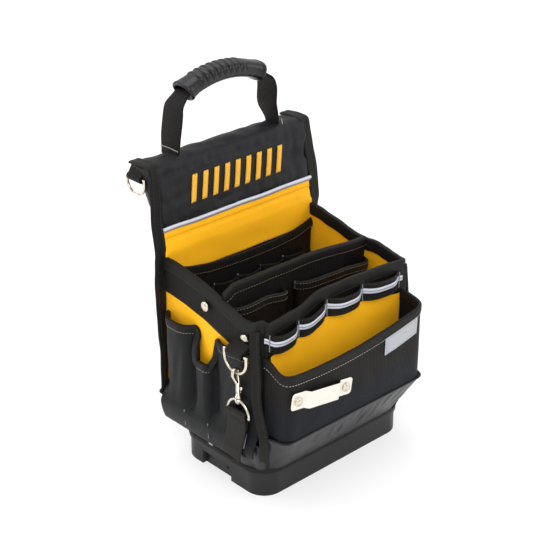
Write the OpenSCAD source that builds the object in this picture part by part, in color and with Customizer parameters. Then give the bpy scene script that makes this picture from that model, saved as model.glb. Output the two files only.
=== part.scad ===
// Open-top electrician's tool tote: a soft body sewn onto a moulded base tray, with a tall padded back,
// a centre divider, pockets and loops outside and inside, a carry handle, two shoulder-strap rings and
// a snap hook on the left side. Width runs along X, depth along Y (front is -Y), height along Z.

/* [Base tray] */
// Width of the tray at its foot
tray_width = 240; // [220:1:270]
// Depth of the tray at its foot
tray_depth = 147; // [135:1:165]
// Height of the tray
tray_height = 34; // [28:1:42]
// Thickness of the tray's wall
tray_wall = 3.5; // [2.5:0.5:5]
// Thickness of the tray's floor
tray_floor = 3; // [2:0.5:5]
// Radius of the tray's upright corners
tray_corner = 26; // [16:1:32]
// How far the tray's lip stands out
tray_lip = 2; // [1:0.5:3]
// Height of the tray's lip
tray_lip_height = 6; // [4:1:10]
// Length of the latch recess in each end of the tray
recess_length = 52; // [30:1:70]
// Height of the latch recess
recess_height = 19; // [10:1:22]
// Depth of the latch recess
recess_depth = 6; // [3:0.5:8]
// Distance of the latch recess behind the tray's middle
recess_offset = 9; // [-10:1:15]
// Thickness of the stiffening board on the tray's floor
board_thickness = 3; // [2:0.5:5]

/* [Body walls] */
// Thickness of the fabric walls
wall = 3; // [2:0.5:4]
// Height of the seam round the sides, above the ground
side_seam_height = 78; // [65:1:90]
// Height of the seam below the front pocket, above the ground
front_seam_height = 93; // [80:1:105]
// Thickness of the coated hem skirt
skirt_thickness = 2.2; // [1.5:0.1:3]
// How far the body stands out behind the tray
rear_overhang = 27; // [20:1:35]
// Height of the side rim at its lowest place
rim_low = 230; // [220:1:238]
// Height of the side rim where it meets the back
rim_rear = 258; // [245:1:275]
// Height of the rim at the front corners
rim_front = 238; // [225:1:242]
// Distance of the rim's lowest place in front of the tray's middle
rim_low_forward = 34; // [20:1:45]
// Height of the webbing band under the rim, along the sides
band_side = 43; // [36:1:50]
// Height of the webbing band under the rim, at the front corners
band_front = 28; // [20:1:32]
// Thickness of the webbing band
band_thickness = 2; // [1.5:0.1:3]
// Height of the binding folded over the rim
binding_height = 15; // [10:1:18]
// Thickness of the folded binding, on each face
binding_thickness = 1.5; // [1:0.1:2.5]
// Width of the upright corner bindings
corner_binding_width = 12; // [8:1:14]
// Thickness of the upright corner bindings
corner_binding_thickness = 3.6; // [2:0.2:5]

/* [Back] */
// Thickness of the stiffened back panel
back_thickness = 3.5; // [2.5:0.5:5]
// Height of the top of the back
back_height = 366; // [340:1:400]
// Backward lean of the panel above the rim, in degrees
back_lean = 8.2; // [4:0.2:12]
// Depth of the foam wedge's top face
wedge_depth = 34; // [26:1:40]
// Height of the fabric cover's upper edge roll on the wedge's rear face
wedge_rear_drop = 10; // [6:1:20]
// Thickness of the fabric layers sewn onto the back panel
layer = 1.5; // [1:0.1:2.5]
// Height of the reflective piping
piping_height = 291; // [280:1:300]
// Diameter of the reflective piping
piping_diameter = 4; // [3:0.5:6]
// Width of the bindings down both edges of the back
back_binding_width = 13; // [8:1:16]
// Number of stitched bars on the back
bar_count = 9; // [5:1:12]
// Width of the field of stitched bars
bar_field = 144; // [100:1:170]
// Height of the stitched bars
bar_height = 32; // [20:1:40]
// Width of one stitched bar
bar_width = 8; // [5:0.5:9]
// Sideways slant of one stitched bar
bar_slant = 7; // [0:0.5:9]

/* [Inside] */
// Height of the centre divider
divider_height = 247; // [235:1:255]
// Thickness of the centre divider
divider_thickness = 4; // [3:0.5:6]
// Distance of the divider in front of the tray's middle
divider_forward = 4; // [0:1:12]
// Depth of the pockets on the divider
divider_pocket_depth = 25; // [15:1:28]
// Height of the top edges of the divider pockets
divider_pocket_top = 226; // [200:1:228]
// Height of the bottoms of the divider pockets
divider_pocket_bottom = 110; // [80:1:140]
// Depth of the pocket on the back panel
back_pocket_depth = 10; // [8:1:16]
// Height of the back pocket's top edge in the middle
back_pocket_top = 235; // [222:1:240]
// Height of the back pocket's bottom
back_pocket_bottom = 90; // [80:1:130]
// Number of tool loops on the back pocket
back_loop_count = 6; // [4:1:7]
// Depth of the tool loops on the back pocket
back_loop_depth = 12; // [8:1:15]
// Height of the band of the back tool loops
back_loop_band = 26; // [20:1:32]
// Height of the middle of the back tool loops
back_loop_height = 188; // [150:1:200]

/* [Front] */
// Depth of the front pocket
front_pocket_depth = 36.8; // [28:0.1:44]
// Height of the front pocket's top edge in the middle
front_pocket_top = 176; // [160:1:178]
// Rise of the front pocket's top edge at its ends
front_pocket_rise = 15; // [8:1:16]
// Inset of the front pocket's left end from the body's side
front_pocket_left_inset = 0.6; // [0.6:0.1:8]
// Inset of the front pocket's right end from the body's side
front_pocket_right_inset = 7.6; // [0.6:0.1:16]
// Radius of the front pocket's upright corners
front_pocket_corner = 14; // [8:1:18]
// Thickness of the pocket fabric
pocket_wall = 2.2; // [1.6:0.1:3]
// Height of the bindings on pocket edges
pocket_binding = 9; // [6:1:12]
// Depth of the front tool loops
front_loop_depth = 13; // [9:1:16]
// Height of the front tool loops' band
front_loop_band = 27; // [20:1:30]
// Height of the middle of the front tool loops
front_loop_height = 209; // [205:1:213]
// Height of the reflective ribbon on the tool loops
ribbon_height = 8; // [5:0.5:12]
// Thickness of the webbing that makes the loops
loop_thickness = 2; // [1.5:0.1:2.5]
// Width of the sewn flat between two tool loops
loop_tack = 7; // [5:1:9]

/* [Side pockets] */
// Depth of the middle and rear side pockets
side_pocket_depth = 13.4; // [11:0.1:16]
// Depth of the flatter side pocket behind the snap hook
hook_pocket_depth = 8.5; // [6:0.1:10]
// Radius of the side pockets' corners
side_pocket_corner = 8; // [5:1:10]
// Height of the side pockets' top edges
side_pocket_top = 188; // [175:1:189]
// Height of the lowest place in the middle pocket's edge
middle_pocket_dip = 152; // [140:1:165]

/* [Hardware] */
// Length of the tape clip
clip_length = 95; // [80:1:110]
// Height of the tape clip
clip_height = 21; // [16:1:26]
// Thickness of the tape clip's steel
clip_thickness = 1.5; // [1:0.1:2]
// Gap behind the tape clip's middle
clip_gap = 5; // [4.6:0.1:8]
// Tilt of the tape clip, in degrees
clip_tilt = 9; // [0:1:12]
// Radius of the rivet heads
rivet_radius = 6; // [4:0.5:7]
// Height of a rivet head
rivet_head = 1.8; // [1:0.1:3]
// Width of the label patch
label_width = 56; // [40:1:70]
// Height of the label patch
label_height = 22; // [16:1:30]
// Diameter of the ring wire
ring_wire = 3.6; // [3:0.1:4.4]
// Outer width of the shoulder-strap rings
shoulder_ring_width = 36; // [30:1:42]
// Drop of the shoulder-strap rings below their bar
shoulder_ring_drop = 21; // [18:1:26]
// Outer width of the snap hook's ring
snap_ring_width = 40; // [34:1:46]
// Drop of the snap hook's ring below its bar
snap_ring_drop = 24.8; // [22:0.2:28]
// Width of the snap hook's webbing strap
strap_width = 30; // [25:1:31]
// Thickness of the webbing straps
webbing = 2.4; // [1.8:0.1:3]

/* [Handle] */
// Distance between the handle's two webbing legs
handle_span = 158; // [140:1:170]
// Height of the handle above the top of the back
handle_rise = 96; // [85:1:110]
// Radius of the grip's arch
grip_arch = 135; // [120:1:160]
// Width of the grip, front to back
grip_width = 36; // [30:1:38]
// Thickness of the grip
grip_thickness = 24; // [20:1:28]
// Number of ribs on the grip
rib_count = 7; // [4:1:9]
// Width of the handle's webbing, front to back
leg_width = 32; // [26:1:32]

/* [Hidden] */
$fn = 64;
clearance = 0.3;
seam_gap = 0.1;
through = 1;

// Colours
black = "#2b2b2d";
webbing_black = "#37342f";
yellow = "#f6bc2c";
coated_grey = "#5a5860";
silver = "#c8c8cd";
nickel = "#d7cdbe";

// Walls: the side and front walls stand just inside the tray's lip, the back wall behind the tray
half_width = tray_width / 2 - clearance - seam_gap;
front_face = tray_depth / 2 - clearance;
front_inner = front_face - wall;
side_inner = half_width - wall;
back_face = tray_depth / 2 - clearance + rear_overhang;
back_inner = back_face - back_thickness;
corner_cut = tray_corner;
rim_low_y = -rim_low_forward;
lip_half_width = tray_width / 2 + tray_lip;
lip_half_depth = tray_depth / 2 + tray_lip;
band_outer = half_width + band_thickness;
band_inner = side_inner - binding_thickness;
side_pocket_face = half_width + side_pocket_depth;
hook_pocket_face = half_width + hook_pocket_depth;
front_pocket_face = front_face + front_pocket_depth;
front_pocket_left = half_width - front_pocket_left_inset;
front_pocket_right = half_width - front_pocket_right_inset;
skirt_front = front_face + skirt_thickness;
skirt_rear = back_face + skirt_thickness + clearance;
skirt_top_radius = 8;

// Back: vertical up to the rim, leaning above it
lean_start = rim_rear + 4;
wedge_back = back_y(back_height) + back_thickness + wedge_depth;
cover_thickness = layer;
wedge_top = back_height - cover_thickness;
back_binding_outer = half_width + binding_thickness;

// How far the skirt's upper side edge stands out at depth y, and the slope of its side from upright
function skirt_top_x(y) = hook_pocket_face + (side_pocket_face - hook_pocket_face)
    * (y + skirt_front - skirt_top_radius) / (skirt_front + skirt_rear - 2 * skirt_top_radius);
function skirt_slope(y) = atan((skirt_top_x(y) - lip_half_width) / (side_seam_height - tray_height));

function ease(t) = (1 - cos(180 * t)) / 2;
function back_y(z) = back_inner + max(0, z - lean_start) * tan(back_lean);

// Height of the side rim at depth y: it falls from the back to its low place and rises to the front corner
function rim_z(y) =
    y < rim_low_y
        ? rim_low + (rim_front - rim_low) * ease((rim_low_y - y) / (rim_low_y + front_face))
        : rim_low + (rim_rear - rim_low) * ease((y - rim_low_y) / (back_inner - rim_low_y));
// Height of the webbing band below the side rim at depth y
function band_z(y) =
    y < rim_low_y
        ? band_side + (band_front - band_side) * ease((rim_low_y - y) / (rim_low_y + front_face))
        : band_side;

rim_steps = 16;
function rim_ys(low, high) = [for (i = [0 : rim_steps]) low + (high - low) * i / rim_steps];

// ---- General shapes ----

// A rounded rectangle centred on the origin, made of exact arcs
module rounded_rect(width, depth, radius) {
    square([width - 2 * radius, depth], center = true);
    square([width, depth - 2 * radius], center = true);
    for (x = [-1, 1], y = [-1, 1])
        translate([x * (width / 2 - radius), y * (depth / 2 - radius)]) circle(radius);
}

// Extrudes a YZ outline along X from x0 to x1
module along_x(x0, x1) {
    translate([x0, 0, 0]) rotate([90, 0, 90]) linear_extrude(x1 - x0) children();
}

// Extrudes an XZ outline along Y from y0 to y1
module along_y(y0, y1) {
    translate([0, y1, 0]) rotate([90, 0, 0]) linear_extrude(y1 - y0) children();
}

// The same shape on the left and, mirrored, on the right
module both_sides() {
    children();
    mirror([1, 0, 0]) children();
}

// A D ring in the YZ plane: straight bar on top at the origin, half-round bow below
module d_ring(width, drop, wire) {
    bow = (width - wire) / 2;
    rotate([90, 0, 0]) cylinder(h = 2 * bow, d = wire, center = true, $fn = 32);
    for (side = [-1, 1]) translate([0, side * bow, 0]) {
        sphere(d = wire, $fn = 32);
        translate([0, 0, -(drop - bow)]) cylinder(h = drop - bow, d = wire, $fn = 32);
    }
    translate([0, 0, -(drop - bow)])
        rotate([0, 90, 0]) rotate([0, 0, -90])
            rotate_extrude(angle = 180) translate([bow, 0]) circle(d = wire, $fn = 32);
}

// ---- Base tray ----

module base_tray() {
    color("#403d40") difference() {
        union() {
            linear_extrude(tray_height) rounded_rect(tray_width, tray_depth, tray_corner);
            translate([0, 0, tray_height - tray_lip_height]) linear_extrude(tray_lip_height)
                rounded_rect(2 * lip_half_width, 2 * lip_half_depth, tray_corner + tray_lip);
        }
        difference() {
            translate([0, 0, tray_floor]) linear_extrude(tray_height)
                rounded_rect(tray_width - 2 * tray_wall, tray_depth - 2 * tray_wall, tray_corner - tray_wall);
            both_sides() recess_block(tray_wall);
        }
        both_sides() recess_block(0);
    }
}

// The space of one latch recess, grown on the inner faces by a wall
module recess_block(grow) {
    translate([tray_width / 2 - recess_depth - grow, recess_offset - recess_length / 2 - grow, -through])
        cube([recess_depth + grow + through * (grow == 0 ? 1 : 0), recess_length + 2 * grow,
              recess_height + grow + through]);
}

module floor_board() {
    inset = tray_wall + clearance;
    color(black) translate([0, 0, tray_floor]) difference() {
        linear_extrude(board_thickness)
            rounded_rect(tray_width - 2 * inset, tray_depth - 2 * inset, tray_corner - tray_wall);
        translate([0, 0, -tray_floor]) both_sides() recess_block(inset);
    }
}

// ---- Coated hem skirt ----

// Thin discs of one radius, centred on points, at height z
module posts(points, radius, z) {
    post = 0.01;
    for (p = points) translate([p.x, p.y, z - post / 2]) cylinder(r = radius, h = post, $fn = 32);
}

// Corners of a box from low to high, drawn in by a radius
function corners(low, high, radius) = [
    for (x = [low.x + radius, high.x - radius], y = [low.y + radius, high.y - radius]) [x, y]
];

// The skirt's solid form, its posts thinned by inset: one part under the body, one under the front pocket
module skirt_form(inset) {
    margin = inset > 0 ? 0.01 : 0;
    foot_radius = tray_corner + tray_lip;
    foot = corners([-lip_half_width, -lip_half_depth], [lip_half_width, lip_half_depth], foot_radius);
    front_x = hook_pocket_face - skirt_top_radius;
    rear_x = side_pocket_face - skirt_top_radius;
    hull() {
        posts(foot, foot_radius - inset, tray_height - margin);
        posts([for (side = [-1, 1]) [side * front_x, skirt_top_radius - skirt_front]],
              skirt_top_radius - inset, side_seam_height + margin);
        posts([for (side = [-1, 1]) [side * rear_x, skirt_rear - skirt_top_radius]],
              skirt_top_radius - inset, side_seam_height + margin);
    }
    hull() {
        posts(foot, foot_radius - inset, tray_height - margin);
        posts(corners([-front_pocket_left, -front_pocket_face], [front_pocket_right, -front_face / 2],
                      front_pocket_corner), front_pocket_corner - inset, front_seam_height + margin);
    }
}

module hem_skirt() {
    color(coated_grey) difference() {
        skirt_form(0);
        skirt_form(skirt_thickness);
        translate([-tray_width, -front_face - clearance, side_seam_height])
            cube([2 * tray_width, tray_depth, front_seam_height]);
    }
}

// ---- Walls ----

module front_wall() {
    top = rim_front - binding_height;
    cut = side_seam_height;
    color(yellow) along_y(-front_face, -front_inner) polygon([
        [-side_inner + corner_cut, tray_height], [side_inner - corner_cut, tray_height],
        [side_inner, cut], [side_inner, top], [-side_inner, top], [-side_inner, cut]
    ]);
}

module side_wall_outline() {
    cut = side_seam_height;
    front = -front_face;
    corner = tray_depth / 2 - tray_corner;
    polygon(concat(
        [[front, cut], [-corner, tray_height], [corner, tray_height], [back_inner, cut + back_thickness]],
        [for (y = rim_ys(back_inner, front)) [y, rim_z(y) - binding_height]]
    ));
}

module left_wall() {
    color(yellow) along_x(-half_width, -side_inner) side_wall_outline();
}

module right_wall() {
    color(yellow) along_x(side_inner, half_width) side_wall_outline();
}

// Outline of a strip along the side rim, from the rim down by band_z, or by a fixed height
module rim_strip(front, drop) {
    ys = rim_ys(front, back_inner);
    polygon(concat(
        [for (y = ys) [y, rim_z(y)]],
        [for (i = [rim_steps : -1 : 0]) [ys[i], rim_z(ys[i]) - (drop > 0 ? drop : band_z(ys[i]))]]
    ));
}

module rim_band() {
    front = -front_face - band_thickness;
    color(webbing_black) {
        both_sides() {
            along_x(half_width, band_outer) rim_strip(front, 0);
            along_x(band_inner, half_width + seam_gap) rim_strip(front, binding_height);
        }
        translate([-band_outer, front, rim_front - binding_height])
            cube([2 * band_outer, wall + band_thickness + binding_thickness, binding_height]);
    }
}

// Upright flanges: at the front corners they point forward, at the rear corners outward
module corner_bindings() {
    front_low = front_seam_height - corner_binding_thickness / 2;
    front_top = rim_front - binding_height;
    rear_low = side_seam_height + clearance;
    width = corner_binding_width;
    color(webbing_black) both_sides() {
        translate([front_pocket_left + clearance + seam_gap, -front_face - skirt_thickness - width, front_low])
            cube([corner_binding_thickness, width, front_top - front_low]);
        translate([half_width - width / 2, back_face, rear_low])
            cube([width * 1.5, corner_binding_thickness, lean_start - rear_low]);
    }
}

// ---- Back ----

// A layer of the back between two distances in front of the panel's face, and two heights
module back_layer(ahead, behind, low, high, width) {
    heights = low < lean_start && high > lean_start ? [low, lean_start, high] : [low, high];
    last = len(heights) - 1;
    along_x(-width / 2, width / 2) polygon(concat(
        [for (i = [0 : last]) [back_y(heights[i]) - ahead, heights[i]]],
        [for (i = [last : -1 : 0]) [back_y(heights[i]) - behind, heights[i]]]
    ));
}

// Places children on the leaning face at height z, with their +Y pointing into the panel
module on_back(z) {
    translate([0, back_y(z), z]) rotate([-back_lean, 0, 0]) children();
}

module back_panel() {
    foot_front = tray_depth / 2 - clearance - back_thickness;
    color(black) {
        intersection() {
            along_x(-half_width, half_width) polygon([
                [foot_front, tray_height], [foot_front + back_thickness, tray_height],
                [back_face, side_seam_height], [back_face, lean_start],
                [back_y(wedge_top) + back_thickness, wedge_top], [back_y(wedge_top), wedge_top],
                [back_inner, lean_start], [back_inner, side_seam_height]
            ]);
            along_y(0, wedge_back) polygon([
                [-half_width + corner_cut, tray_height], [half_width - corner_cut, tray_height],
                [half_width, side_seam_height], [half_width, back_height],
                [-half_width, back_height], [-half_width, side_seam_height]
            ]);
        }
    }
}

module upper_panel() {
    color(black)
        back_layer(layer, 0, piping_height, wedge_top, 2 * (back_binding_outer - back_binding_width));
}

// Its lower part runs down behind the back pocket's edge
module yellow_band() {
    tuck = 20;
    color(yellow) back_layer(layer, 0, back_pocket_top - pocket_binding - tuck, piping_height,
                             2 * (back_binding_outer - back_binding_width));
}

module reflective_piping() {
    color(silver) on_back(piping_height)
        translate([0, -layer - piping_diameter / 2 - seam_gap, 0]) rotate([0, 90, 0])
            cylinder(d = piping_diameter, h = 2 * (back_binding_outer - back_binding_width), center = true);
}

// Slanted satin-stitched bars, a plain ornament in a row
module emblem_bars() {
    middle = (piping_height + back_height) / 2;
    pitch = (bar_field - bar_width - bar_slant) / (bar_count - 1);
    start = -(bar_field - bar_width - bar_slant) / 2 - (bar_width + bar_slant) / 2;
    color(yellow) on_back(middle) along_y(-2 * layer, -layer)
        for (i = [0 : bar_count - 1]) translate([start + i * pitch, -bar_height / 2])
            polygon([[0, 0], [bar_width, 0], [bar_width + bar_slant, bar_height], [bar_slant, bar_height]]);
}

module back_bindings() {
    inner = back_binding_outer - back_binding_width;
    front = layer + binding_thickness;
    slope = tan(back_lean);
    side_low = rim_rear + clearance;
    color(webbing_black) both_sides() {
        intersection() {
            back_layer(front, 0, side_low, wedge_top, 2 * back_binding_outer);
            translate([inner, 0, 0]) cube([back_binding_width, 2 * wedge_back, 2 * back_height]);
        }
        along_x(half_width, back_binding_outer) polygon([
            [back_y(lean_start), lean_start], [back_y(wedge_top), wedge_top],
            [wedge_back - layer, wedge_top], [back_face, lean_start + clearance]
        ]);
    }
}

module back_wedge() {
    foot = lean_start + back_thickness;
    color(black) along_x(-half_width, half_width) polygon([
        [back_y(foot) + back_thickness, foot], [back_y(wedge_top) + back_thickness, wedge_top],
        [wedge_back - layer, wedge_top], [wedge_back - layer, wedge_top - wedge_rear_drop]
    ]);
}

module top_cover() {
    color(black) along_x(-back_binding_outer, back_binding_outer) polygon([
        [back_y(wedge_top) - layer, wedge_top], [wedge_back, wedge_top],
        [wedge_back, back_height], [back_y(wedge_top) - layer, back_height]
    ]);
}

// A shallow patch pocket hung on a wall: U-shaped in plan, open at the top. The wall is at y = 0, the
// pocket bulges to -Y.
module pocket_plan(width, depth, radius, thickness) {
    intersection() {
        difference() {
            rounded_rect(width, 2 * depth, radius);
            rounded_rect(width - 2 * thickness, 2 * (depth - thickness), radius - thickness);
        }
        translate([-width / 2, -depth]) square([width, depth]);
    }
}

back_pocket_half = back_binding_outer - back_binding_width - clearance;
back_pocket_corner = 6;

// Height of the back pocket's edge: low in the middle, turned up at 45 degrees at both ends
function back_edge_points(drop) = let(
    turn_length = 14,
    turn_rise = 4,
    low = back_pocket_top - drop,
    end = back_pocket_half,
    turn = end - turn_length
) [
    [-end, low + turn_rise + turn_length], [-turn, low + turn_rise], [0, low],
    [turn, low + turn_rise], [end, low + turn_rise + turn_length]
];

module back_pocket_form(thickness) {
    extra = thickness - pocket_wall;
    translate([0, back_inner - layer, 0]) linear_extrude(back_height)
        pocket_plan(2 * back_pocket_half, back_pocket_depth + extra, back_pocket_corner, thickness);
}

module back_pocket() {
    floor_half = back_pocket_half - back_pocket_corner;
    color(black) {
        intersection() {
            back_pocket_form(pocket_wall);
            along_y(0, 2 * back_face) polygon(concat(
                [[-half_width, back_pocket_bottom]], back_edge_points(pocket_binding),
                [[half_width, back_pocket_bottom]]
            ));
        }
        translate([-floor_half, back_inner - layer - back_pocket_depth, back_pocket_bottom])
            cube([2 * floor_half, back_pocket_depth, pocket_wall]);
    }
}

module back_pocket_binding() {
    top = back_edge_points(0);
    bottom = back_edge_points(pocket_binding);
    color(webbing_black) intersection() {
        back_pocket_form(pocket_wall + binding_thickness);
        along_y(0, 2 * back_face) polygon(concat(top, [for (i = [len(bottom) - 1 : -1 : 0]) bottom[i]]));
    }
}

// ---- Tool loops ----

// Plan of one webbing loop, an arc from -chord/2 to chord/2 on y = 0 bulging to -Y, its outer face at depth
module loop_arc(chord, depth, thickness, stand_off) {
    inner_depth = depth - loop_thickness;
    radius = (pow(chord / 2, 2) + pow(inner_depth, 2)) / (2 * inner_depth);
    intersection() {
        translate([0, radius - inner_depth]) difference() {
            circle(radius + stand_off + thickness, $fn = 96);
            circle(radius + stand_off, $fn = 96);
        }
        translate([-chord, -2 * depth]) square([2 * chord, 2 * depth]);
    }
}

// A row of loops between tacks at the x positions in ends, on a wall at y = 0
module loop_row(ends, depth, height) {
    linear_extrude(height) {
        for (i = [0 : len(ends) - 2])
            translate([(ends[i] + ends[i + 1]) / 2, 0])
                loop_arc(ends[i + 1] - ends[i] - loop_tack, depth, loop_thickness, 0);
        for (x = ends) translate([x - loop_tack / 2 - loop_thickness, -loop_thickness])
            square([loop_tack + 2 * loop_thickness, loop_thickness]);
    }
}

// Tacks of the front loops: two narrow loops on the left, two wide ones on the right
front_tacks = [-110, -61, -14, 44, 103];

module front_tool_loops() {
    color(webbing_black)
        translate([0, -front_face, front_loop_height - front_loop_band / 2])
            loop_row(front_tacks, front_loop_depth, front_loop_band);
}

module reflective_ribbon() {
    ribbon_thickness = 0.8;
    color(silver)
        translate([0, -front_face, front_loop_height - ribbon_height / 2])
            linear_extrude(ribbon_height) difference() {
                for (i = [0 : len(front_tacks) - 2])
                    translate([(front_tacks[i] + front_tacks[i + 1]) / 2, 0])
                        loop_arc(front_tacks[i + 1] - front_tacks[i] - loop_tack, front_loop_depth,
                                 ribbon_thickness, loop_thickness + seam_gap);
                translate([-tray_width, -loop_thickness - clearance])
                    square([2 * tray_width, tray_width]);
            }
}

module back_tool_loops() {
    margin = 15;
    span = 2 * (back_pocket_half - margin);
    tacks = [for (i = [0 : back_loop_count]) -span / 2 + span * i / back_loop_count];
    color(webbing_black)
        translate([0, back_inner - layer - back_pocket_depth, back_loop_height - back_loop_band / 2])
            loop_row(tacks, back_loop_depth, back_loop_band);
}

// ---- Divider ----

divider_half = band_inner - clearance;
divider_front = -divider_forward - divider_thickness / 2;
divider_floor = tray_floor + board_thickness;
divider_foot_gap = 2;
divider_foot_half = tray_width / 2 - recess_depth - 2 * tray_wall - divider_foot_gap;
divider_shoulder = tray_height + 8;

module divider() {
    top = divider_height - pocket_binding;
    color(black) along_y(divider_front, divider_front + divider_thickness) polygon([
        [-divider_foot_half, divider_floor], [divider_foot_half, divider_floor],
        [divider_foot_half, tray_height], [divider_half, divider_shoulder],
        [divider_half, top], [-divider_half, top],
        [-divider_half, divider_shoulder], [-divider_foot_half, tray_height]
    ]);
}

module divider_binding() {
    color(webbing_black)
        translate([-divider_half, divider_front - binding_thickness, divider_height - pocket_binding])
            cube([2 * divider_half, divider_thickness + 2 * binding_thickness, pocket_binding]);
}

divider_pocket_gap = 20;
divider_pocket_split = -17;
divider_pocket_inset = 3;
divider_pocket_corner = 14;

// A bulging pocket on the divider's front face between two x positions
module divider_pocket(low, high) {
    width = high - low;
    color(black) translate([(low + high) / 2, divider_front, divider_pocket_bottom]) {
        linear_extrude(divider_pocket_top - divider_pocket_bottom)
            pocket_plan(width, divider_pocket_depth, divider_pocket_corner, pocket_wall);
        linear_extrude(pocket_wall) intersection() {
            rounded_rect(width, 2 * divider_pocket_depth, divider_pocket_corner);
            translate([-width / 2, -divider_pocket_depth]) square([width, divider_pocket_depth]);
        }
    }
}

module divider_pocket_left() {
    divider_pocket(divider_pocket_inset - divider_half, divider_pocket_split - divider_pocket_gap / 2);
}

module divider_pocket_right() {
    divider_pocket(divider_pocket_split + divider_pocket_gap / 2, divider_half - divider_pocket_inset);
}

// ---- Front pocket ----

function front_edge_z(t) = front_pocket_top + front_pocket_rise * pow(abs(2 * t - 1), 3);

// XZ outline of everything below the front pocket's edge, lowered by drop
module below_front_edge(drop) {
    steps = 16;
    width = front_pocket_left + front_pocket_right;
    polygon(concat(
        [[front_pocket_right + through, front_seam_height], [-front_pocket_left - through, front_seam_height]],
        [for (i = [0 : steps]) [
            -front_pocket_left - through + (width + 2 * through) * i / steps, front_edge_z(i / steps) - drop
        ]]
    ));
}

module front_pocket_form(thickness) {
    extra = thickness - pocket_wall;
    translate([(front_pocket_right - front_pocket_left) / 2, -front_face, 0])
        linear_extrude(rim_front)
            pocket_plan(front_pocket_left + front_pocket_right, front_pocket_depth + extra,
                        front_pocket_corner, thickness);
}

module front_pocket() {
    color(black) intersection() {
        front_pocket_form(pocket_wall);
        along_y(-2 * front_pocket_face, 0) below_front_edge(pocket_binding);
    }
}

module front_pocket_binding() {
    color(webbing_black) intersection() {
        front_pocket_form(pocket_wall + binding_thickness);
        along_y(-2 * front_pocket_face, 0) difference() {
            below_front_edge(0);
            below_front_edge(pocket_binding);
        }
    }
}

// ---- Tape clip and label ----

clip_centre_x = -65;
clip_centre_z = 142;
clip_end = 20;

// Plan of the bent steel strip: flat ends on the pocket, a middle that stands off
module clip_plan() {
    half = clip_length / 2;
    flat = half - clip_end;
    slope = 5;
    raised = flat - slope;
    t = clip_thickness;
    mitre = t * (norm([slope, clip_gap]) - slope) / clip_gap;
    polygon([
        [-half, 0], [-flat, 0], [-raised, -clip_gap], [raised, -clip_gap], [flat, 0], [half, 0],
        [half, -t], [flat + mitre, -t], [raised + mitre, -clip_gap - t],
        [-raised - mitre, -clip_gap - t], [-flat - mitre, -t], [-half, -t]
    ]);
}

module at_clip() {
    translate([clip_centre_x, -front_pocket_face - seam_gap, clip_centre_z]) rotate([0, clip_tilt, 0]) children();
}

module tape_clip() {
    color(nickel) at_clip() translate([0, 0, -clip_height / 2]) linear_extrude(clip_height) clip_plan();
}

module tape_clip_rivets() {
    color(nickel) at_clip() for (side = [-1, 1])
        translate([side * (clip_length - clip_end) / 2, -clip_thickness, 0]) rotate([90, 0, 0])
            cylinder(r = rivet_radius, h = rivet_head);
}

module label_patch() {
    thickness = 1;
    right = front_pocket_right - front_pocket_corner - thickness;
    top = front_pocket_top - pocket_binding - clearance;
    color(silver) translate([right - label_width, -front_pocket_face - seam_gap - thickness, top - label_height])
        cube([label_width, thickness, label_height]);
}

// ---- Side pockets ----

side_tack = 8;
side_pocket_front = wall - front_face;
side_pocket_rear = back_inner - side_tack / 2;
side_split_front = 4;
side_split_rear = 40;

// Ends of the three pockets along Y, front to rear
side_spans = [
    [side_pocket_front, side_split_front - side_tack / 2],
    [side_split_front + side_tack / 2, side_split_rear - side_tack / 2],
    [side_split_rear + side_tack / 2, side_pocket_rear]
];

// Plan of the three pockets on a wall at x = -half_width, with flat webs joining them
module side_pocket_plan(thickness) {
    extra = thickness - pocket_wall;
    depths = [hook_pocket_depth, side_pocket_depth, side_pocket_depth];
    for (i = [0 : 2]) let(span = side_spans[i])
        translate([-half_width, (span[0] + span[1]) / 2]) rotate(-90)
            pocket_plan(span[1] - span[0], depths[i] + extra, min(side_pocket_corner, depths[i] - 1), thickness);
    for (y = [side_split_front, side_split_rear])
        translate([-half_width - thickness, y - side_tack / 2 - thickness])
            square([thickness, side_tack + 2 * thickness]);
}

// YZ outline below the side pockets' top edges, with the middle one dipped, lowered by drop
module below_side_edges(drop) {
    middle = (side_split_front + side_split_rear) / 2;
    dip_radius = (side_split_rear - side_split_front) / 2;
    difference() {
        translate([-front_pocket_face, side_seam_height])
            square([2 * front_pocket_face, side_pocket_top - drop - side_seam_height]);
        translate([middle, middle_pocket_dip + dip_radius - drop]) {
            circle(dip_radius);
            translate([-dip_radius, 0]) square([2 * dip_radius, side_pocket_top]);
        }
    }
}

// Ends of each pocket's piece of cloth along Y: they meet behind the middles of the tacks between them
side_pieces = [
    [-front_pocket_face, side_split_front], [side_split_front, side_split_rear], [side_split_rear, back_inner]
];

// One of the three side pockets, counted from the front
module side_pocket(i) {
    intersection() {
        linear_extrude(side_pocket_top) side_pocket_plan(pocket_wall);
        along_x(-2 * side_pocket_face, 0) intersection() {
            below_side_edges(pocket_binding);
            translate([side_pieces[i][0], 0]) square([side_pieces[i][1] - side_pieces[i][0], side_pocket_top]);
        }
    }
}

module side_pocket_bindings() {
    intersection() {
        linear_extrude(side_pocket_top) side_pocket_plan(pocket_wall + binding_thickness);
        along_x(-2 * side_pocket_face, 0) difference() {
            below_side_edges(0);
            below_side_edges(pocket_binding);
        }
    }
}

module left_pocket_front() {
    color(black) side_pocket(0);
}

module left_pocket_middle() {
    color(black) side_pocket(1);
}

module left_pocket_rear() {
    color(black) side_pocket(2);
}

module left_pocket_bindings() {
    color(webbing_black) side_pocket_bindings();
}

module right_pocket_front() {
    color(black) mirror([1, 0, 0]) side_pocket(0);
}

module right_pocket_middle() {
    color(black) mirror([1, 0, 0]) side_pocket(1);
}

module right_pocket_rear() {
    color(black) mirror([1, 0, 0]) side_pocket(2);
}

module right_pocket_bindings() {
    color(webbing_black) mirror([1, 0, 0]) side_pocket_bindings();
}

// ---- Rivets ----

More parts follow.
